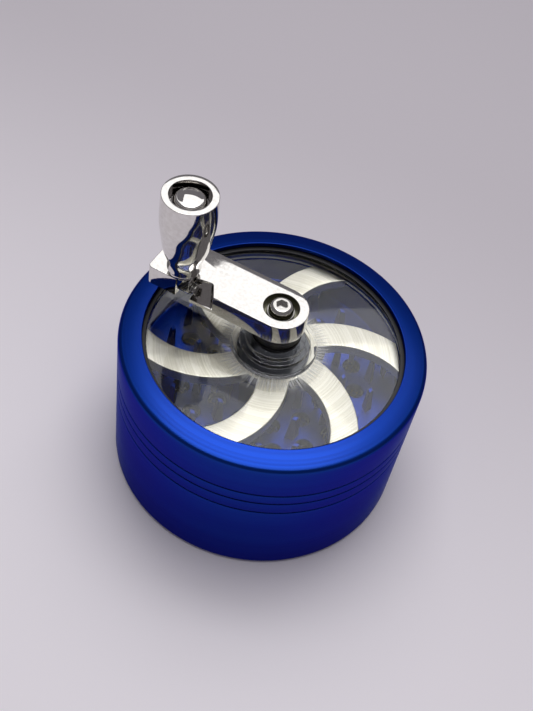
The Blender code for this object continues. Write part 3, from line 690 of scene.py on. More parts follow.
@dataclass(frozen=True)
class PlainMoulding(Finish):
    """Moulded rubber or nylon: a dull even skin with a fine grain."""

    name: str = "black_rubber"
    color: str = "#141416"
    roughness: float = 0.5
    grain: float = 0.25 * MM
    grain_depth: float = 0.01 * MM
    worn_color: str = "#242326"

    def shader(self, tree: Tree) -> Socket:
        """A dull skin with fine grain in its colour, gloss and relief."""
        spot = add(tree, "ShaderNodeTexCoord").outputs["Object"]
        fine = {"Vector": spot, "Scale": 1.0 / self.grain, "Detail": 2.0}
        grain = add(tree, "ShaderNodeTexNoise", fine).outputs["Fac"]
        inputs = {
            "Base Color": tinted(tree, spread(tree, grain, 0.0, 1.0), self.color, self.worn_color),
            "Roughness": spread(tree, grain, self.roughness - 0.08, self.roughness + 0.08),
            "Normal": relief(tree, grain, self.grain_depth),
        }
        return self.principled(tree, inputs)


@dataclass(frozen=True)
class MattePaper(Finish):
    """Studio paper, pale, cool grey and without gloss, with painted shade: its colour darkens from front to
    back, standing in for the light falling off.
    """

    name: str = "matte_paper"
    color: str = "#fbf6fc"
    roughness: float = 0.9
    # painted shade: the darker colour at the back, standing in for the light falling off away from the front
    far_shade_color: str = "#d3cdd4"
    near_edge: float = -70.0 * MM
    far_edge: float = 120.0 * MM

    def shader(self, tree: Tree) -> Socket:
        """Dull paper with painted shade that darkens it from front to back."""
        spot = add(tree, "ShaderNodeTexCoord").outputs["Object"]
        depth = add(tree, "ShaderNodeSeparateXYZ", {0: spot}).outputs["Y"]
        ends = {"Value": depth, "From Min": self.near_edge, "From Max": self.far_edge}
        fade = add(tree, "ShaderNodeMapRange", ends, interpolation_type="SMOOTHSTEP").outputs[0]
        # painted shade: the colour runs from the bright near colour to the darker far colour, as the light
        # falls off
        tint = tinted(tree, fade, self.color, self.far_shade_color)
        return self.principled(tree, {"Base Color": tint, "Specular IOR Level": 0.2})


BLUE = AnodisedAluminium()
BARE = MachinedAluminium()
STEEL = TurnedSteel()
DARK = TurnedSteel(name="dark_bearing_steel", color="#3a3a3e", shade_color="#26262a")
COLLAR = TurnedSteel(color="#4a494a", shade_color="#343436")
CHROME = ChromePlate()
ARM_CHROME = BoredChrome()
BRIGHT_STEEL = TurnedSteel(color="#dedcd8", shade_color="#b9b6b0", roughness=0.14)
ACRYLIC = ClearAcrylic()
RUBBER = PlainMoulding()
NYLON = PlainMoulding(name="white_nylon", color="#dedbd0", worn_color="#d2cec2", roughness=0.42)
BLACK_NYLON = PlainMoulding(name="black_nylon", color="#1c1c1f", worn_color="#27272b", roughness=0.40)


# ---- Stack of round bodies --------------------------------------------------------------------
def threaded(radius: float, low: float, high: float, pitch: float, depth: float) -> Surface:
    """A screw thread as a sleeve of rings whose radius dips along a helix.

    The radius at height h and angle a is radius + depth (cos(2 pi (h / pitch - a / 2 pi)) - 1) / 2,
    times a fade that brings the thread to nothing at both ends.

    Args:
        radius: of the thread's crest. A negative depth cuts outwards, for a bore.
        low: its lower end.
        high: its upper end.
        pitch: height of one turn.
        depth: of the thread.

    Returns:
        An open sleeve, whose ends lie on the plain radius.
    """
    rows = max(12, int((high - low) / pitch * 10))
    height = np.linspace(low, high, rows)[:, None]
    angle = (np.arange(ROUND_STEPS) * TURN / ROUND_STEPS)[None, :]
    fade = np.clip(np.minimum(height - low, high - height) / pitch, 0.0, 1.0)
    wave = (np.cos(TURN * height / pitch - angle) - 1.0) / 2.0
    spread_radius = radius + depth * wave * fade
    points = (spread_radius * np.cos(angle), spread_radius * np.sin(angle), height + 0.0 * angle)
    return grid(np.stack(points, axis=-1))


@dataclass
class RoundBodies:
    """The catcher cup, sieve ring, grinding plate and lid, turned from aluminium."""

    edge: float = 0.18 * MM  # round the outer edges at the seams
    inner_edge: float = 0.25 * MM
    inside_corner: float = 0.1 * MM
    cup_wall: float = 2.2 * MM
    cup_floor: float = 2.0 * MM
    cup_foot: float = 1.3 * MM
    cup_inside_corner: float = 2.5 * MM
    thread_pitch: float = 1.0 * MM
    thread_depth: float = 0.22 * MM
    thread_length: float = 6.5 * MM
    thread_inset: float = 0.4 * MM  # below the band
    thread_skin: float = 0.004 * MM  # that its crests stand clear of the cutter
    thread_cover: float = 0.2 * MM  # that the cutter reaches past the sleeve
    sleeve_foot: float = 0.4 * MM
    sleeve_wall: float = 1.6 * MM
    ledge_width: float = 1.8 * MM
    ledge_thickness: float = 1.0 * MM
    plate_floor: float = 2.0 * MM
    plate_corner: float = 0.5 * MM
    spigot_foot: float = 0.3 * MM
    chamber_wall: float = 1.5 * MM
    lid_wall: float = 2.9 * MM
    lid_lip: float = 1.0 * MM
    lid_rise: float = 0.8 * MM
    lid_edge: float = 0.95 * MM
    lid_inner_edge: float = 0.22 * MM
    sight_radius: float = 26.7 * MM

    def build(self) -> None:
        """Builds all four."""
        self.catcher_cup()
        self.sieve_ring()
        self.grinding_plate()
        self.lid_ring()

    def catcher_cup(self) -> None:
        """The cup: a turned pot with a rounded inside corner and a softened foot."""
        cup = Extent.of("catcher_cup")
        radius, bore = cup.half_x, cup.half_x - self.cup_wall
        pot = turned_solid(
            (bore, self.cup_floor, self.cup_inside_corner),
            (bore, cup.high, self.inner_edge),
            (radius, cup.high, self.edge),
            (radius, cup.low, self.cup_foot),
        )
        stand_in("catcher_cup", pot, BLUE)

    def sieve_ring(self) -> None:
        """The sieve ring: an outer band with a threaded sleeve below it and a ledge for the screen."""
        ring = Extent.of("sieve_ring")
        band_low = Extent.of("catcher_cup").high + SEAT_GAP
        radius = ring.half_x
        sleeve = radius - self.cup_wall - SEAT_GAP
        bore = sleeve - self.sleeve_wall
        ledge = ring.low + self.ledge_thickness
        ledge_bore = bore - self.ledge_width
        outline = rounded(
            [
                (radius, ring.high, self.edge),
                (radius, band_low, self.edge),
                (sleeve, band_low, self.inside_corner),
                (sleeve, ring.low, self.sleeve_foot),
                (ledge_bore, ring.low, self.inner_edge),
                (ledge_bore, ledge, self.inner_edge),
                (bore, ledge, self.inside_corner),
                (bore, ring.high, self.inner_edge),
            ]
        )
        solid = Solid("sieve_ring", lathe(outline))
        thread_top = band_low - self.thread_inset
        self.cut_thread(solid, sleeve, band_low - self.thread_length - self.thread_inset, thread_top)
        stand_in("sieve_ring", solid, BLUE)

    def cut_thread(self, solid: Solid, radius: float, low: float, high: float) -> None:
        """Cuts a helical groove into a plain sleeve by taking away a ring with a ribbed bore.

        Args:
            solid: the turned piece.
            radius: of its sleeve.
            low: the groove's lower end.
            high: the groove's upper end.
        """
        groove = threaded(radius + self.thread_skin, low, high, self.thread_pitch, self.thread_depth)
        rows = len(groove.points) // ROUND_STEPS
        inner = groove.points.reshape(rows, ROUND_STEPS, 3)
        angle = np.arange(ROUND_STEPS) * TURN / ROUND_STEPS
        outer_radius = radius + self.thread_cover
        flat = np.stack((outer_radius * np.cos(angle), outer_radius * np.sin(angle)), axis=1)
        top = np.column_stack((flat, np.full(ROUND_STEPS, high)))
        bottom = np.column_stack((flat, np.full(ROUND_STEPS, low)))
        solid.joined(grid(np.concatenate((inner, top[None], bottom[None])), wrap_rows=True), Joining.TAKE)

    def grinding_plate(self) -> None:
        """The grinding plate: a floor with teeth and drop holes inside a thin chamber wall."""
        body = Extent.of("grinding_plate")
        sieve = Extent.of("sieve_ring")
        lid = Extent.of("lid_ring")
        radius = body.half_x
        band_low, band_high = sieve.high + SEAT_GAP, lid.low - SEAT_GAP
        spigot = radius - self.cup_wall - SEAT_GAP - self.sleeve_wall - SEAT_GAP
        chamber = radius - self.lid_wall - SEAT_GAP
        bore = chamber - self.chamber_wall
        floor_top = body.low + self.plate_floor
        pan = turned_solid(
            (bore, floor_top, self.plate_corner),
            (bore, body.high, self.inner_edge),
            (chamber, body.high, self.inner_edge),
            (chamber, band_high, self.inside_corner),
            (radius, band_high, self.edge),
            (radius, band_low, self.edge),
            (spigot, band_low, self.inside_corner),
            (spigot, body.low, self.spigot_foot),
        )
        solid = Solid("grinding_plate", pan)
        teeth = Teeth()
        solid.joined(teeth.drop_holes(body.low, floor_top), Joining.TAKE)
        solid.joined(teeth.on_plate(floor_top), Joining.ADD)
        stand_in("grinding_plate", solid, BLUE)

    def lid_ring(self) -> None:
        """The lid: its top slopes gently down from the inner edge to a well rounded outer edge."""
        lid = Extent.of("lid_ring")
        radius = lid.half_x
        bore = radius - self.lid_wall
        lip = lid.high - self.lid_lip
        outer_top = lid.high - self.lid_rise
        outline = rounded(
            [
                (self.sight_radius, lid.high, self.lid_inner_edge),
                (radius, outer_top, self.lid_edge),
                (radius, lid.low, self.edge),
                (bore, lid.low, self.inner_edge),
                (bore, lip, self.inside_corner),
                (self.sight_radius, lip, self.inside_corner),
            ]
        )
        stand_in("lid_ring", lathe(outline), BLUE)


@dataclass
class Teeth:
    """The diamond teeth of the plate and the rotor, and the holes that the ground herb drops through.

    Tooth rings lie between the hub and the rotor's rim, by turns on the plate and on the rotor.
    """

    first_ring: float = 9.2 * MM
    rings: int = 3
    side_room: float = 0.95 * MM
    edge_room: float = 0.15 * MM
    length: float = 3.2 * MM
    taper: float = 0.55
    room: float = 0.6 * MM  # above and below passing teeth
    root: float = 0.6 * MM
    bevel: float = 0.14 * MM
    plate_counts: tuple[int, ...] = (8, 12, 18)
    hole_counts: tuple[int, ...] = (12, 18)
    hole_radius: float = 1.7 * MM
    hole_rim: float = 0.25 * MM
    hole_edge: float = 0.15 * MM
    hole_steps: int = 28
    twist: float = math.radians(1.7)

    @property
    def pitch(self) -> float:
        """Distance between a plate ring and the next rotor ring."""
        rotor = Extent.of("rotor")
        reach = math.hypot(rotor.half_x, rotor.half_y) / math.sqrt(2.0)
        span = reach - self.edge_room - self.first_ring + self.side_room / 2.0
        return span / (2 * self.rings - 0.5)

    @property
    def plate_rings(self) -> np.ndarray:
        """Radii of the plate's rings of teeth."""
        return self.first_ring + 2.0 * self.pitch * np.arange(self.rings)

    @property
    def rotor_rings(self) -> np.ndarray:
        """Radii of the rotor's rings of teeth."""
        return self.plate_rings + self.pitch

    def tooth(self, low: float, high: float, wide_low: bool) -> np.ndarray:
        """One tooth at the origin: a diamond that narrows away from its root, with a small bevel at its end.

        Args:
            low: its lower end.
            high: its upper end.
            wide_low: True when its root is its lower end.

        Returns:
            (rows, 4, 3) array of rings of corners, from below upwards.
        """
        half = np.array((self.pitch - self.side_room, self.length)) / 2.0
        shares = np.array((1.0, self.taper, self.taper - self.bevel / half[0]))
        heights = np.array((low, high - self.bevel, high))
        if not wide_low:
            shares = shares[::-1]
            heights = np.array((low, low + self.bevel, high))
        corner = np.array(((1.0, 0.0), (0.0, 1.0), (-1.0, 0.0), (0.0, -1.0))) * half
        flat = shares[:, None, None] * corner[None]
        return np.concatenate((flat, np.broadcast_to(heights[:, None, None], (3, 4, 1))), axis=-1)

    def group(self, shape: np.ndarray, radii: np.ndarray, angles: np.ndarray) -> Surface:
        """Copies of a tooth, each moved out by its radius and turned by its angle."""
        rows = len(shape)
        surfaces = []
        for radius, angle in zip(radii, angles):
            points = turned_copies(shape.reshape(-1, 3) + np.array((radius, 0.0, 0.0)), np.array((angle,)))
            surfaces.append(capped(points.reshape(rows, -1, 3)))
        return together(*surfaces)

    def on_plate(self, floor_top: float) -> Surface:
        """All teeth that stand on the plate's floor."""
        top = Extent.of("rotor").high - Rotor.blade_thickness - self.room
        radii, angles = self.spots(self.plate_rings, self.plate_counts, 0.5)
        return self.group(self.tooth(floor_top - self.root, top, True), radii, angles)

    def spots(self, rings: np.ndarray, counts: tuple[int, ...], share: float) -> Spots:
        """Radius and angle of evenly spaced places on rings, started by a share of a step and the twist."""
        radii = np.concatenate([np.full(count, ring) for ring, count in zip(rings, counts)])
        angles = np.concatenate([(np.arange(count) + share) * TURN / count for count in counts]) + self.twist
        return radii, angles

    def drop_holes(self, low: float, high: float) -> Surface:
        """Cutters for the drop holes, widened at the floor's two faces for a broken edge."""
        hole = turned_solid(
            (self.hole_radius + 4.0 * self.hole_rim, high + MM, 0.0),
            (self.hole_radius, high - self.hole_rim, self.hole_edge),
            (self.hole_radius, low + self.hole_rim, self.hole_edge),
            (self.hole_radius + 4.0 * self.hole_rim, low - MM, 0.0),
            steps=self.hole_steps,
        )
        radii, angles = self.spots(self.rotor_rings, self.hole_counts, 0.0)
        return together(*(hole.shifted(r * math.cos(a), r * math.sin(a)) for r, a in zip(radii, angles)))


def capped(rows: np.ndarray) -> Surface:
    """Rings of corners as a closed surface: each end ring shrinks to its middle."""
    first = np.broadcast_to(rows[0].mean(axis=0), rows[0].shape)
    last = np.broadcast_to(rows[-1].mean(axis=0), rows[-1].shape)
    return grid(np.concatenate((first[None], rows, last[None])))


# ---- Screen -----------------------------------------------------------------------------------
@dataclass
class Screen:
    """The woven screen and the flat ring that holds it down."""

    pitch: float = 1.2 * MM  # real cloth is nearer 0.15 mm, too fine to show
    wire_share: float = 0.46  # of half the thickness
    wire_sides: int = 5
    retainer_bore_inset: float = 1.5 * MM
    edge: float = 0.2 * MM

    def build(self) -> None:
        """Builds the screen and its retainer."""
        self.woven()
        self.retainer()

    def woven(self) -> None:
        """Plain weave: wires along X and Y that pass over and under each other.

        A wire at offset v runs along u as (u, v, h s cos(pi u / pitch)), where s is 1 or -1 by turns,
        with a round section of wire_sides corners.
        """
        screen = Extent.of("sieve_screen")
        middle = (screen.low + screen.high) / 2.0
        swing = (screen.high - screen.low) / 2.0 * self.wire_share
        wire = (screen.high - screen.low) / 2.0 - swing
        reach = screen.half_x - wire
        count = int(reach / self.pitch)
        surfaces = []
        for k in range(-count, count + 1):
            offset = k * self.pitch
            half = math.sqrt(max(reach**2 - offset**2, 0.0))
            u = np.linspace(-half, half, max(3, int(4 * half / self.pitch) + 1))
            for along_x in (True, False):
                sign = (-1.0) ** k * (1.0 if along_x else -1.0)
                rise = sign * swing * np.cos(math.pi * u / self.pitch)
                surfaces.append(self.wire(u, offset, middle + rise, wire, along_x))
        stand_in("sieve_screen", together(*surfaces), STEEL)

    def wire(self, u: np.ndarray, offset: float, height: np.ndarray, radius: float, along_x: bool) -> Surface:
        """One wire as rings of corners along its line, closed at both ends."""
        turn = np.arange(self.wire_sides) * TURN / self.wire_sides
        along = np.broadcast_to(u[:, None], (len(u), self.wire_sides))
        side = offset + radius * np.cos(turn)[None, :] + 0.0 * along
        up = height[:, None] + radius * np.sin(turn)[None, :]
        order = (along, side, up) if along_x else (side, along, up)
        return capped(np.stack(order, axis=-1))

    def retainer(self) -> None:
        """The flat ring over the screen's rim."""
        ring = Extent.of("screen_retainer")
        outline = ring_of(ring.half_x - self.retainer_bore_inset, ring.half_x, ring.low, ring.high, self.edge)
        stand_in("screen_retainer", lathe(outline), BARE)


# ---- Window and bearing -----------------------------------------------------------------------
@dataclass
class Window:
    """The clear window with its stepped boss, its seals and the shaft's bush."""

    gasket_bore: float = 25.9 * MM
    step_radii: tuple[float, ...] = (8.7 * MM, 7.2 * MM, 6.1 * MM)
    step_heights: tuple[float, ...] = (1.0 * MM, 2.0 * MM, 2.9 * MM)
    sheet: float = 2.1 * MM
    boss_foot: float = 0.35 * MM
    edge: float = 0.16 * MM
    fine_edge: float = 0.12 * MM
    bush_wall: float = 1.4 * MM
    shaft_radius: float = 2.9 * MM
    seat_width: float = 1.5 * MM

    def build(self) -> None:
        """Builds every piece of the window."""
        self.window()
        self.flat_rings()
        self.bush()

    def window(self) -> None:
        """The window: a flat disc with a boss that narrows upwards in three steps."""
        pane = Extent.of("window")
        top = pane.low + self.sheet
        bore = self.shaft_radius + RUNNING_GAP + self.bush_wall + SEAT_GAP
        corners = [(bore, pane.high, self.fine_edge)]
        floors = (0.0,) + self.step_heights
        for radius, low, high in reversed(list(zip(self.step_radii, floors, floors[1:]))):
            foot = self.boss_foot if low == 0.0 else self.edge
            corners += [(radius, top + high, self.edge), (radius, top + low, foot)]
        corners += [
            (pane.half_x, top, self.edge),
            (pane.half_x, pane.low, self.edge),
            (bore, pane.low, self.fine_edge),
        ]
        stand_in("window", lathe(rounded(corners)), ACRYLIC)

    def flat_rings(self) -> None:
        """The gasket, the window's retainer and the slip ring."""
        for node, bore, finish in (
            ("window_gasket", self.gasket_bore, RUBBER),
            ("window_retainer", Extent.of("window_retainer").half_x - self.seat_width, BARE),
            ("slip_ring", Extent.of("slip_ring").half_x - self.seat_width, NYLON),
        ):
            ring = Extent.of(node)
            outline = ring_of(bore, ring.half_x, ring.low, ring.high, self.fine_edge)
            stand_in(node, lathe(outline), finish)

    def bush(self) -> None:
        """The flanged bush that the shaft turns in."""
        bush = Extent.of("shaft_bush")
        pane = Extent.of("window")
        bore = self.shaft_radius + RUNNING_GAP
        outline = rounded(
            [
                (bore, bush.high, self.fine_edge),
                (bush.half_x, bush.high, self.edge),
                (bush.half_x, pane.high + SEAT_GAP, self.fine_edge),
                (bore + self.bush_wall, pane.high + SEAT_GAP, 0.0),
                (bore + self.bush_wall, bush.low, self.fine_edge),
                (bore, bush.low, self.fine_edge),
            ]
        )
        stand_in("shaft_bush", lathe(outline, SMALL_STEPS), DARK)


# ---- Rotor and shaft --------------------------------------------------------------------------
@dataclass
class Rotor:
    """The six-bladed rotor that turns under the window, with the shaft that drives it."""

    blades: int = 6
    first_angle: float = math.radians(-2.0)
    blade_thickness: float = 2.4 * MM
    root_width: float = 6.4 * MM
    tip_width: float = 5.2 * MM
    arc_radius: float = 18.0 * MM
    root_turn: float = math.radians(-8.7)
    root_overlap: float = 0.12
    hub_radius: float = 8.4 * MM
    recess_radius: float = 7.8 * MM
    recess_depth: float = 0.8 * MM
    rim_room: float = 0.6 * MM
    edge: float = 0.22 * MM
    lower_edge: float = 0.1 * MM
    hub_edge: float = 0.05 * MM
    points: int = 40
    shaft_radius: float = 2.9 * MM
    flange_radius: float = 4.5 * MM
    flange_thickness: float = 1.2 * MM
    flange_edge: float = 0.15 * MM
    flange_foot: float = 0.25 * MM
    collar_edge: float = 0.15 * MM
    thread_radius: float = 1.45 * MM

    def build(self) -> None:
        """Builds the rotor, the shaft and the rings round it."""
        self.rotor()
        self.washer()
        self.shaft()
        self.collar()

    @property
    def radius(self) -> float:
        """The rotor's outer radius, from the chamber that it turns in."""
        bodies = RoundBodies()
        chamber = Extent.of("lid_ring").half_x - bodies.lid_wall - SEAT_GAP
        return chamber - bodies.chamber_wall - self.rim_room

    @property
    def square(self) -> float:
        """Side of the shaft's square, whose half diagonal is the shaft's radius."""
        return self.shaft_radius * math.sqrt(2.0)

    def arc_centre(self) -> tuple[float, float, float]:
        """Where the blades' arc is centred, and the angle that it starts at."""
        start = self.root_turn + math.pi / 2.0
        return self.hub_radius - self.arc_radius * math.cos(start), -self.arc_radius * math.sin(start), start

    def blade_outline(self) -> np.ndarray:
        """A swept strip round a circular arc that leaves the hub almost along its radius.

        At share s of its sweep, its two sides lie at the arc's radius plus and minus half its width,
        and the width runs evenly from root to tip.
        """
        x, y, start = self.arc_centre()
        share = np.linspace(0.0, 1.0, self.points)
        turn = start + self.root_overlap - (self.root_overlap + self.radius / self.arc_radius) * share
        half = (self.root_width + (self.tip_width - self.root_width) * share) / 2.0
        sides = []
        for reach in (self.arc_radius + half, self.arc_radius - half):
            sides.append(np.stack((x + reach * np.cos(turn), y + reach * np.sin(turn)), axis=1))
        outline = np.concatenate((sides[0], sides[1][::-1]))
        return outline[::-1]

    def tooth_spots(self, rings: np.ndarray) -> Spots:
        """Radius and angle where every blade's middle line crosses the tooth rings."""
        x, y, _ = self.arc_centre()
        apart = math.hypot(x, y)
        cosine = (self.arc_radius**2 + apart**2 - rings**2) / (2.0 * self.arc_radius * apart)
        turn = math.atan2(-y, -x) - np.arccos(cosine)
        angle = np.arctan2(y + self.arc_radius * np.sin(turn), x + self.arc_radius * np.cos(turn))
        first = self.first_angle + np.arange(self.blades) * TURN / self.blades
        return np.tile(rings, self.blades), (first[:, None] + angle[None, :]).reshape(-1)

    def rotor(self) -> None:
        """Hub, blades and teeth in one piece, with a square hole."""
        body = Extent.of("rotor")
        under = body.high - self.blade_thickness
        hub = turned_solid(
            (self.hub_radius, body.high, self.hub_edge),
            (self.hub_radius, under, self.lower_edge),
            steps=SMALL_STEPS,
        )
        solid = Solid("rotor", hub)
        trim = turned_solid((self.radius, body.high, self.edge), (self.radius, under, self.lower_edge))
        outline = self.blade_outline()
        flat = np.column_stack((outline, np.zeros(len(outline))))
        angles = self.first_angle + np.arange(self.blades) * TURN / self.blades
        edge = soft_edge(under, body.high, self.lower_edge, self.edge)
        for turned_outline in turned_copies(flat, angles):
            blade = Solid("blade", plate(turned_outline[:, :2], edge))
            solid.joined(blade.joined(trim, Joining.KEEP), Joining.ADD)
        recess = rod(self.recess_radius, body.high - self.recess_depth, body.high + MM, SMALL_STEPS)
        solid.joined(recess, Joining.TAKE)
        teeth = Teeth()
        radii, spots = self.tooth_spots(teeth.rotor_rings)
        floor_top = Extent.of("grinding_plate").low + RoundBodies().plate_floor
        shape = teeth.tooth(floor_top + teeth.room, under + teeth.root, False)
        solid.joined(teeth.group(shape, radii, spots), Joining.ADD)
        half = self.square / 2.0 + SEAT_GAP
        solid.joined(box_surface((-half, -half, under - MM), (half, half, body.high + MM)), Joining.TAKE)
        stand_in("rotor", solid, BARE)

    def washer(self) -> None:
        """The black nylon washer between the rotor's recess and the window."""
        ring = Extent.of("thrust_washer")
        outline = ring_of(self.shaft_radius + SEAT_GAP, ring.half_x, ring.low, ring.high, self.lower_edge)
        stand_in("thrust_washer", lathe(outline, SMALL_STEPS), BLACK_NYLON)

    def shaft(self) -> None:
        """The shaft: round in the bush, square in the rotor and the arm, with a flange under the rotor."""
        body = Extent.of("drive_shaft")
        rotor = Extent.of("rotor")
        arm = Extent.of("crank_arm")
        shank_low = rotor.high - self.recess_depth + SEAT_GAP
        shank_top = arm.low - SEAT_GAP
        flange_top = body.low + self.flange_thickness
        shank = turned_solid(
            (self.shaft_radius, shank_top, self.lower_edge),
            (self.shaft_radius, shank_low, self.lower_edge),
            steps=SMALL_STEPS,
        )
        flange = turned_solid(
            (self.flange_radius, flange_top, self.flange_edge),
            (self.flange_radius, body.low, self.flange_foot),
            steps=SMALL_STEPS,
        )
        solid = Solid("drive_shaft", shank)
        half = self.square / 2.0
        solid.joined(box_surface((-half, -half, flange_top - SEAT_GAP), (half, half, body.high)), Joining.ADD)
        solid.joined(flange, Joining.ADD)
        hole_floor = Extent.of("arm_screw").low - SEAT_GAP
        solid.joined(rod(self.thread_radius + SEAT_GAP, hole_floor, body.high + MM), Joining.TAKE)
        stand_in("drive_shaft", solid, STEEL)

    def collar(self) -> None:
        """The dark collar between the bush and the arm."""
        ring = Extent.of("spacer_collar")
        outline = ring_of(self.shaft_radius + SEAT_GAP, ring.half_x, ring.low, ring.high, self.collar_edge)
        stand_in("spacer_collar", lathe(outline, SMALL_STEPS), COLLAR)


# ---- Crank arm --------------------------------------------------------------------------------
@dataclass
class CrankArm:
    """The chromed arm with its counterbore, notch and slot, and the screw that holds it."""

    corner: float = 0.9 * MM
    edge: float = 0.12 * MM
    lower_edge: float = 0.12 * MM
    counterbore_radius: float = 3.6 * MM
    counterbore_rim: float = 0.08 * MM
    socket_depth: float = 1.1 * MM
    socket_web: float = 1.8 * MM
    notch_start: float = 12.2 * MM
    notch_lean: float = 1.8 * MM
    notch_end: float = 20.7 * MM
    notch_depth: float = 3.2 * MM
    notch_shallow: float = 2.6 * MM
    slot_depth: float = 2.8 * MM
    notch_corner: float = 0.6 * MM
    notch_floor: float = 0.9 * MM
    notch_rim: float = 0.08 * MM
    tongue_width: float = 2.7 * MM
    pin_radius: float = 0.55 * MM
    pin_head: float = 0.7 * MM
    pin_bite: float = 4.8 * MM
    pin_room: float = 0.2 * MM
    pin_steps: int = 40
    pin_head_edge: float = 0.35 * MM
    pin_washer_edge: float = 0.05 * MM
    pin_point: float = 0.15 * MM
    screw_radius: float = 1.45 * MM
    hex_radius: float = 1.27 * MM
    hex_depth: float = 0.9 * MM
    head_flat: float = 1.6 * MM
    head_inset: float = 0.05 * MM  # of its underside
    neck: float = 0.1 * MM
    screw_point: float = 0.45 * MM
    washer_edge: float = 0.08 * MM

    def build(self) -> None:
        """Builds the arm, its screw and washer, and the fold pin with its washer."""
        self.arm()
        self.screw()
        self.lock_washer()
        self.fold_pin()

    def arm(self) -> None:
        """The arm: a bar with a round hub end, cut by everything that it holds."""
        arm = Extent.of("crank_arm")
        half = arm.half_y
        reach = arm.half_x - arm.x - self.corner
        hub = arc(0.0, 0.0, half, -math.pi / 2.0, math.pi / 2.0, 64)
        back = arc(-reach, half - self.corner, self.corner, math.pi / 2.0, math.pi, 12)
        front = arc(-reach, self.corner - half, self.corner, math.pi, 1.5 * math.pi, 12)
        outline = np.concatenate((hub, back, front))
        edge = soft_edge(arm.low, arm.high, self.lower_edge, self.edge)
        solid = Solid("crank_arm", plate(outline, edge))
        floor = arm.low + self.socket_depth + self.socket_web
        rim = self.counterbore_radius + self.counterbore_rim
        bore = np.array(
            (
                (0.0, arm.high + MM),
                (rim, arm.high + MM),
                (rim, arm.high),
                (self.counterbore_radius, arm.high - self.counterbore_rim),
                (self.counterbore_radius, floor),
                (0.0, floor),
            )
        )
        solid.joined(lathe(bore, SMALL_STEPS, closed=False), Joining.TAKE)
        solid.joined(self.notch(arm), Joining.TAKE)
        inner = -self.notch_end + SEAT_GAP + self.tongue_width + SEAT_GAP
        low = (-self.notch_end, -half - MM, arm.low - MM)
        high = (inner, self.slot_depth - half, arm.high + MM)
        solid.joined(box_surface(low, high), Joining.TAKE)
        solid.joined(rod(self.screw_radius + SEAT_GAP, arm.low - MM, arm.high), Joining.TAKE)
        side = Rotor().square / 2.0 + SEAT_GAP
        top = arm.low + self.socket_depth
        solid.joined(box_surface((-side, -side, arm.low - MM), (side, side, top)), Joining.TAKE)
        pin = Extent.of("fold_pin")
        deep = -self.notch_end - self.pin_bite - SEAT_GAP
        hole = rod(self.pin_radius + self.pin_room, deep, -self.notch_end + MM)
        solid.joined(hole.laid_along_x().shifted(0.0, pin.y, (pin.low + pin.high) / 2.0), Joining.TAKE)
        stand_in("crank_arm", solid, ARM_CHROME)

    def notch(self, arm: Extent) -> Surface:
        """Cutter for the notch in the arm's front, deepest at its leaning start, with a broken top edge."""
        front, beyond = -arm.half_y, 3.0 * MM
        outer = -self.notch_end + SEAT_GAP + self.tongue_width + SEAT_GAP / 2.0
        slope = self.notch_lean / self.notch_depth
        outline = rounded(
            [
                (outer, self.notch_shallow + front, 0.0),
                (outer, front - beyond, 0.0),
                (-self.notch_start + slope * beyond, front - beyond, 0.0),
                (-self.notch_start - self.notch_lean, self.notch_depth + front, self.notch_corner),
            ]
        )
        edge = np.array(
            (
                (0.0, arm.low + self.notch_floor),
                (0.0, arm.high - self.notch_rim),
                (-self.notch_rim, arm.high),
                (-self.notch_rim, arm.high + MM),
            )
        )
        return plate(outline, edge)

    def screw(self) -> None:
        """The button-head screw: a flat-topped dome with a hexagonal socket."""
        body = Extent.of("arm_screw")
        base = Extent.of("lock_washer").high + SEAT_GAP
        turn = np.linspace(0.0, math.pi / 2.0, 18)
        side = self.head_flat + (body.half_x - self.head_flat) * np.sin(turn)
        dome = np.stack((side, base + (body.high - base) * np.cos(turn)), axis=1)
        dome = np.concatenate((((0.0, body.high),), dome))
        shank = rounded(
            [
                (body.half_x - self.head_inset, base, 0.0),
                (self.screw_radius, base, self.neck),
                (self.screw_radius, body.low, self.screw_point),
                (0.0, body.low, 0.0),
            ],
            closed=False,
        )
        solid = Solid("arm_screw", lathe(np.concatenate((dome, shank)), SMALL_STEPS, closed=False))
        socket = rod(self.hex_radius, body.high - self.hex_depth, body.high + MM, 6)
        solid.joined(socket, Joining.TAKE)
        stand_in("arm_screw", solid, BRIGHT_STEEL)

    def lock_washer(self) -> None:
        """The washer under the screw's head."""
        ring = Extent.of("lock_washer")
        outline = ring_of(self.screw_radius + SEAT_GAP, ring.half_x, ring.low, ring.high, self.washer_edge)
        stand_in("lock_washer", lathe(outline, SMALL_STEPS), STEEL)

    def fold_pin(self) -> None:
        """The pin that the knob folds on, with its pan head and washer, along X."""
        pin_low, pin_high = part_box("fold_pin")
        middle = (pin_low + pin_high) / 2.0
        head = (pin_high.y - pin_low.y) / 2.0
        head_low = pin_high.x - self.pin_head
        pin = turned_solid(
            (head, pin_high.x, self.pin_head_edge),
            (head, head_low, self.pin_washer_edge),
            (self.pin_radius, head_low, 0.0),
            (self.pin_radius, pin_low.x, self.pin_point),
            steps=self.pin_steps,
        )
        stand_in("fold_pin", pin.laid_along_x().shifted(0.0, middle.y, middle.z), STEEL)
        low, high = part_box("fold_washer")
        ring = ring_of(
            self.pin_radius + self.pin_room, (high.y - low.y) / 2.0, low.x, high.x, self.pin_washer_edge
        )
        washer = lathe(ring, self.pin_steps).laid_along_x().shifted(0.0, middle.y, middle.z)
        stand_in("fold_washer", washer, STEEL)


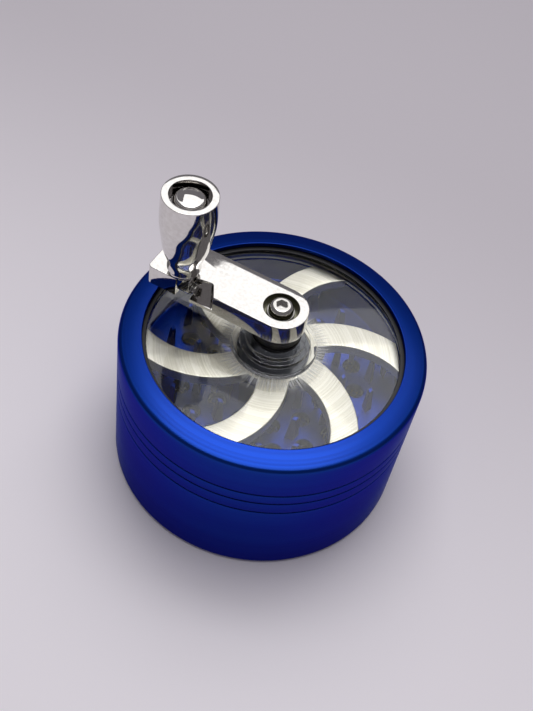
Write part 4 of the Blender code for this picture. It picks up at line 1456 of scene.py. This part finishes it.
# ---- Knob -------------------------------------------------------------------------------------
@dataclass
class Knob:
    """The folding knob: a chromed barrel on a stud, with a domed screw in its open top."""

    stations: tuple[tuple[float, float], ...] = (
        (0.00, 3.43 * MM),
        (0.09, 3.50 * MM),
        (0.28, 4.50 * MM),
        (0.48, 5.12 * MM),
        (0.64, 5.50 * MM),
        (0.79, 5.55 * MM),
        (1.00, 5.42 * MM),
    )  # share of the barrel's length, radius
    rim_edge: float = 0.13 * MM
    recess_radius: float = 4.0 * MM
    recess_depth: float = 2.9 * MM
    recess_edge: float = 0.12 * MM
    foot_round: float = 0.2 * MM  # round the barrel's foot and the recess's floor
    bore_edge: float = 0.1 * MM
    stud_radius: float = 1.9 * MM
    stud_edge: float = 0.15 * MM
    foot_thickness: float = 0.8 * MM
    foot_edge: float = 0.22 * MM
    tongue_width: float = 2.7 * MM
    tongue_round: float = 1.3 * MM
    tongue_edge: float = 0.2 * MM
    pin_radius: float = 0.55 * MM
    cap_shank: float = 1.0 * MM
    cap_height: float = 2.1 * MM
    cap_crown: float = 0.45 * MM  # rise of the low crown towards the axis
    cap_crown_radius: float = 2.4 * MM

    def build(self) -> None:
        """Builds the stud, the sleeve and the cap screw."""
        self.stud()
        self.sleeve()
        self.cap()

    def barrel(self, low: float, high: float) -> np.ndarray:
        """The barrel's side from its rim down: a cubic curve through the stations.

        Between stations each slope is the mean of its neighbours', and the cubic that has both ends'
        radii and slopes joins them.
        """
        share, radius = np.array(self.stations).T
        slope = np.gradient(radius, share)
        at = np.linspace(1.0, 0.0, 60)
        k = np.clip(np.searchsorted(share, at, side="right") - 1, 0, len(share) - 2)
        wide = share[k + 1] - share[k]
        t = (at - share[k]) / wide
        value = (2 * t**3 - 3 * t**2 + 1) * radius[k] + (3 * t**2 - 2 * t**3) * radius[k + 1]
        value += wide * ((t**3 - 2 * t**2 + t) * slope[k] + (t**3 - t**2) * slope[k + 1])
        return np.stack((value, low + (high - low) * at), axis=1)

    def sleeve(self) -> None:
        """The barrel with its recess and its bore."""
        body = Extent.of("knob_sleeve")
        side = self.barrel(body.low, body.high)
        keep = side[:, 1] < body.high - self.rim_edge
        floor = body.high - self.recess_depth
        bore = self.stud_radius + RUNNING_GAP
        top = rounded(
            [
                (self.recess_radius, floor + MM, 0.0),
                (self.recess_radius, body.high, self.recess_edge),
                (side[0, 0], body.high, self.rim_edge),
                (*side[keep][0], 0.0),
            ],
            closed=False,
        )
        inside = rounded(
            [
                (*side[-2], 0.0),
                (side[-1, 0], body.low, self.foot_round),
                (bore, body.low, self.bore_edge),
                (bore, floor, self.bore_edge),
                (self.recess_radius, floor, self.foot_round),
                (self.recess_radius, floor + MM, 0.0),
            ],
            closed=False,
        )
        outline = np.concatenate((top, side[keep][1:-2], inside[:-1]))
        solid = Solid("knob_sleeve", lathe(outline, SMALL_STEPS).shifted(body.x, body.y))
        stand_in("knob_sleeve", solid, CHROME)

    def stud(self) -> None:
        """The stud: a round foot and post, with the tongue that the fold pin goes through."""
        body = Extent.of("knob_stud")
        sleeve = Extent.of("knob_sleeve")
        pin_low, pin_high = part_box("fold_pin")
        pin_y, pin_z = (pin_low.y + pin_high.y) / 2.0, (pin_low.z + pin_high.z) / 2.0
        foot_top = sleeve.low - SEAT_GAP
        foot_low = foot_top - self.foot_thickness
        post = turned_solid(
            (self.stud_radius, body.high, self.stud_edge),
            (self.stud_radius, foot_top, 0.0),
            (body.half_x, foot_top, self.foot_edge),
            (body.half_x, foot_low, self.foot_edge),
            steps=SMALL_STEPS,
        )
        solid = Solid("knob_stud", post.shifted(sleeve.x, sleeve.y))
        solid.joined(self.tongue(pin_y, pin_z, foot_low + self.foot_thickness / 2.0), Joining.ADD)
        axis_hole = rod(self.cap_shank + SEAT_GAP, Extent.of("knob_screw").low - SEAT_GAP, body.high + MM)
        solid.joined(axis_hole.shifted(sleeve.x, sleeve.y), Joining.TAKE)
        reach = CrankArm().notch_end
        eye = rod(self.pin_radius + RUNNING_GAP, -reach - MM, -reach + self.tongue_width + MM, 32)
        solid.joined(eye.laid_along_x().shifted(0.0, pin_y, pin_z), Joining.TAKE)
        stand_in("knob_stud", solid, CHROME)

    def tongue(self, pin_y: float, pin_z: float, top: float) -> Surface:
        """The tongue: a strip with a round lower end about the pin, seen along X, with soft edges.

        Args:
            pin_y: the pin's place across.
            pin_z: the pin's height.
            top: where the tongue ends in the foot.

        Returns:
            A closed side surface, laid along X.
        """
        round_end = arc(0.0, 0.0, self.tongue_round, 0.0, math.pi, 24)
        sides = np.array(((-self.tongue_round, pin_z - top), (self.tongue_round, pin_z - top)))
        outline = np.concatenate((round_end, sides))
        flat = np.stack((outline[:, 1], outline[:, 0]), axis=1)[::-1]
        outer = -(CrankArm().notch_end - SEAT_GAP)
        edge = soft_edge(outer, outer + self.tongue_width, self.tongue_edge, self.tongue_edge)
        return plate(flat, edge).laid_along_x().shifted(0.0, pin_y, pin_z)

    def cap(self) -> None:
        """The screw head in the barrel's recess: a low crown with rounded sides, and its shank.

        Over the crown the height is its top less crown times the square of the radius's share.
        """
        body = Extent.of("knob_screw")
        base = body.high - self.cap_height
        turn = np.linspace(0.0, math.pi / 2.0, 20)
        crown = np.stack((np.linspace(0.0, self.cap_crown_radius, 8), np.full(8, body.high)), axis=1)
        crown[:, 1] -= self.cap_crown * (crown[:, 0] / self.cap_crown_radius) ** 2
        shoulder = body.high - self.cap_crown - base
        side = self.cap_crown_radius + (body.half_x - self.cap_crown_radius) * np.sin(turn[1:])
        dome = np.concatenate((crown, np.stack((side, base + shoulder * np.cos(turn[1:])), axis=1)))
        shank = np.array(((self.cap_shank, base), (self.cap_shank, body.low), (0.0, body.low)))
        solid = Solid("knob_screw", lathe(np.concatenate((dome, shank)), SMALL_STEPS, closed=False))
        solid.object.data.transform(Matrix.Translation((body.x, body.y, 0.0)))
        stand_in("knob_screw", solid, CHROME)


# ---- Stage ------------------------------------------------------------------------------------
@dataclass
class SoftLamp:
    """A square soft light."""

    name: str
    azimuth: float  # degrees from -Y towards +X
    elevation: float
    distance: float
    width: float
    height: float
    radiance: float
    color: str = "#ffffff"

    def build(self, target: Vector) -> None:
        """Places the lamp so that it faces the target. Its power is pi times radiance times area."""
        data = bpy.data.lights.new(self.name, "AREA")
        data.shape = "RECTANGLE"
        data.size = self.width
        data.size_y = self.height
        data.energy = math.pi * self.radiance * self.width * self.height
        data.color = linear(self.color)[:3]
        lamp = bpy.data.objects.new(self.name, data)
        bpy.context.scene.collection.objects.link(lamp)
        turn, rise = math.radians(self.azimuth), math.radians(self.elevation)
        away = Vector((math.sin(turn) * math.cos(rise), -math.cos(turn) * math.cos(rise), math.sin(rise)))
        lamp.location = target + away * self.distance
        lamp.rotation_euler = away.to_track_quat("Z", "Y").to_euler()


@dataclass
class Stage:
    """Floor, lights and camera."""

    floor_half: float = 3.0
    camera_azimuth: float = math.radians(19.7)
    camera_elevation: float = math.radians(50.69)
    camera_roll: float = math.radians(11.21)
    camera_x: float = -1.06 * MM
    camera_y: float = -133.63 * MM
    camera_z: float = 193.14 * MM
    focal_pixels: float = 1023.0
    image_height: float = 711.0
    sensor: float = 36.0

    def build(self) -> None:
        """Builds the whole stage."""
        self.floor()
        self.lights()
        self.camera()
        self.tone()

    def floor(self) -> None:
        """A wide flat sheet of paper, as a grid of points at height 0."""
        side = np.linspace(-self.floor_half, self.floor_half, 9)
        x, y = np.meshgrid(side, side)
        sheet = grid(np.stack((x, y, np.zeros_like(x)), axis=-1), wrap_columns=False)
        mesh = bpy.data.meshes.new("floor")
        mesh.from_pydata(sheet.points.tolist(), [], sheet.faces.tolist())
        paper = bpy.data.objects.new("floor", mesh)
        bpy.context.scene.collection.objects.link(paper)
        mesh.materials.append(MattePaper().material("floor"))

    def lights(self) -> None:
        """A soft room and large lamps above and behind."""
        world = bpy.data.worlds.new("soft_room")
        world.use_nodes = True
        background = world.node_tree.nodes["Background"]
        background.inputs["Color"].default_value = linear("#d8d4dc")
        background.inputs["Strength"].default_value = 0.28
        bpy.context.scene.world = world
        target = Vector((0.0, 0.0, 0.03))
        for lamp in (
            SoftLamp("key_lamp", 195.0, 60.0, 1.30, 1.14, 0.85, 1.35),
            SoftLamp("overhead_lamp", 200.0, 86.0, 0.42, 0.30, 0.30, 2.9),
        ):
            lamp.build(target)

    def camera(self) -> None:
        """The camera: placed and rolled by its own angles."""
        turn, rise = self.camera_azimuth, self.camera_elevation
        cosine, sine = math.cos(turn), math.sin(turn)
        forward = Vector((-sine * math.cos(rise), cosine * math.cos(rise), -math.sin(rise)))
        right = Vector((cosine, sine, 0.0))
        up = right.cross(forward)
        across = right * math.cos(self.camera_roll) + up * math.sin(self.camera_roll)
        upward = up * math.cos(self.camera_roll) - right * math.sin(self.camera_roll)
        place = Vector(
            (
                self.camera_x * cosine - self.camera_y * sine,
                self.camera_x * sine + self.camera_y * cosine,
                self.camera_z,
            )
        )
        data = bpy.data.cameras.new("camera")
        data.sensor_width = self.sensor
        data.sensor_fit = "AUTO"
        data.lens = self.focal_pixels * self.sensor / self.image_height
        data.clip_start = 0.01
        view = bpy.data.objects.new("camera", data)
        bpy.context.scene.collection.objects.link(view)
        axes = Matrix((across, upward, -forward)).transposed().to_4x4()
        view.matrix_world = Matrix.Translation(place) @ axes
        bpy.context.scene.camera = view

    def tone(self) -> None:
        """Colours are shown as they are, without a film curve."""
        bpy.context.scene.view_settings.view_transform = "Standard"


def main() -> None:
    """Builds every piece in order."""
    logging.basicConfig(level=logging.INFO, format="%(name)s: %(message)s")
    for assembly in (RoundBodies(), Screen(), Window(), Rotor(), CrankArm(), Knob(), Stage()):
        assembly.build()
        LOG.info("%s done", type(assembly).__name__)


if __name__ == "__main__":
    main()
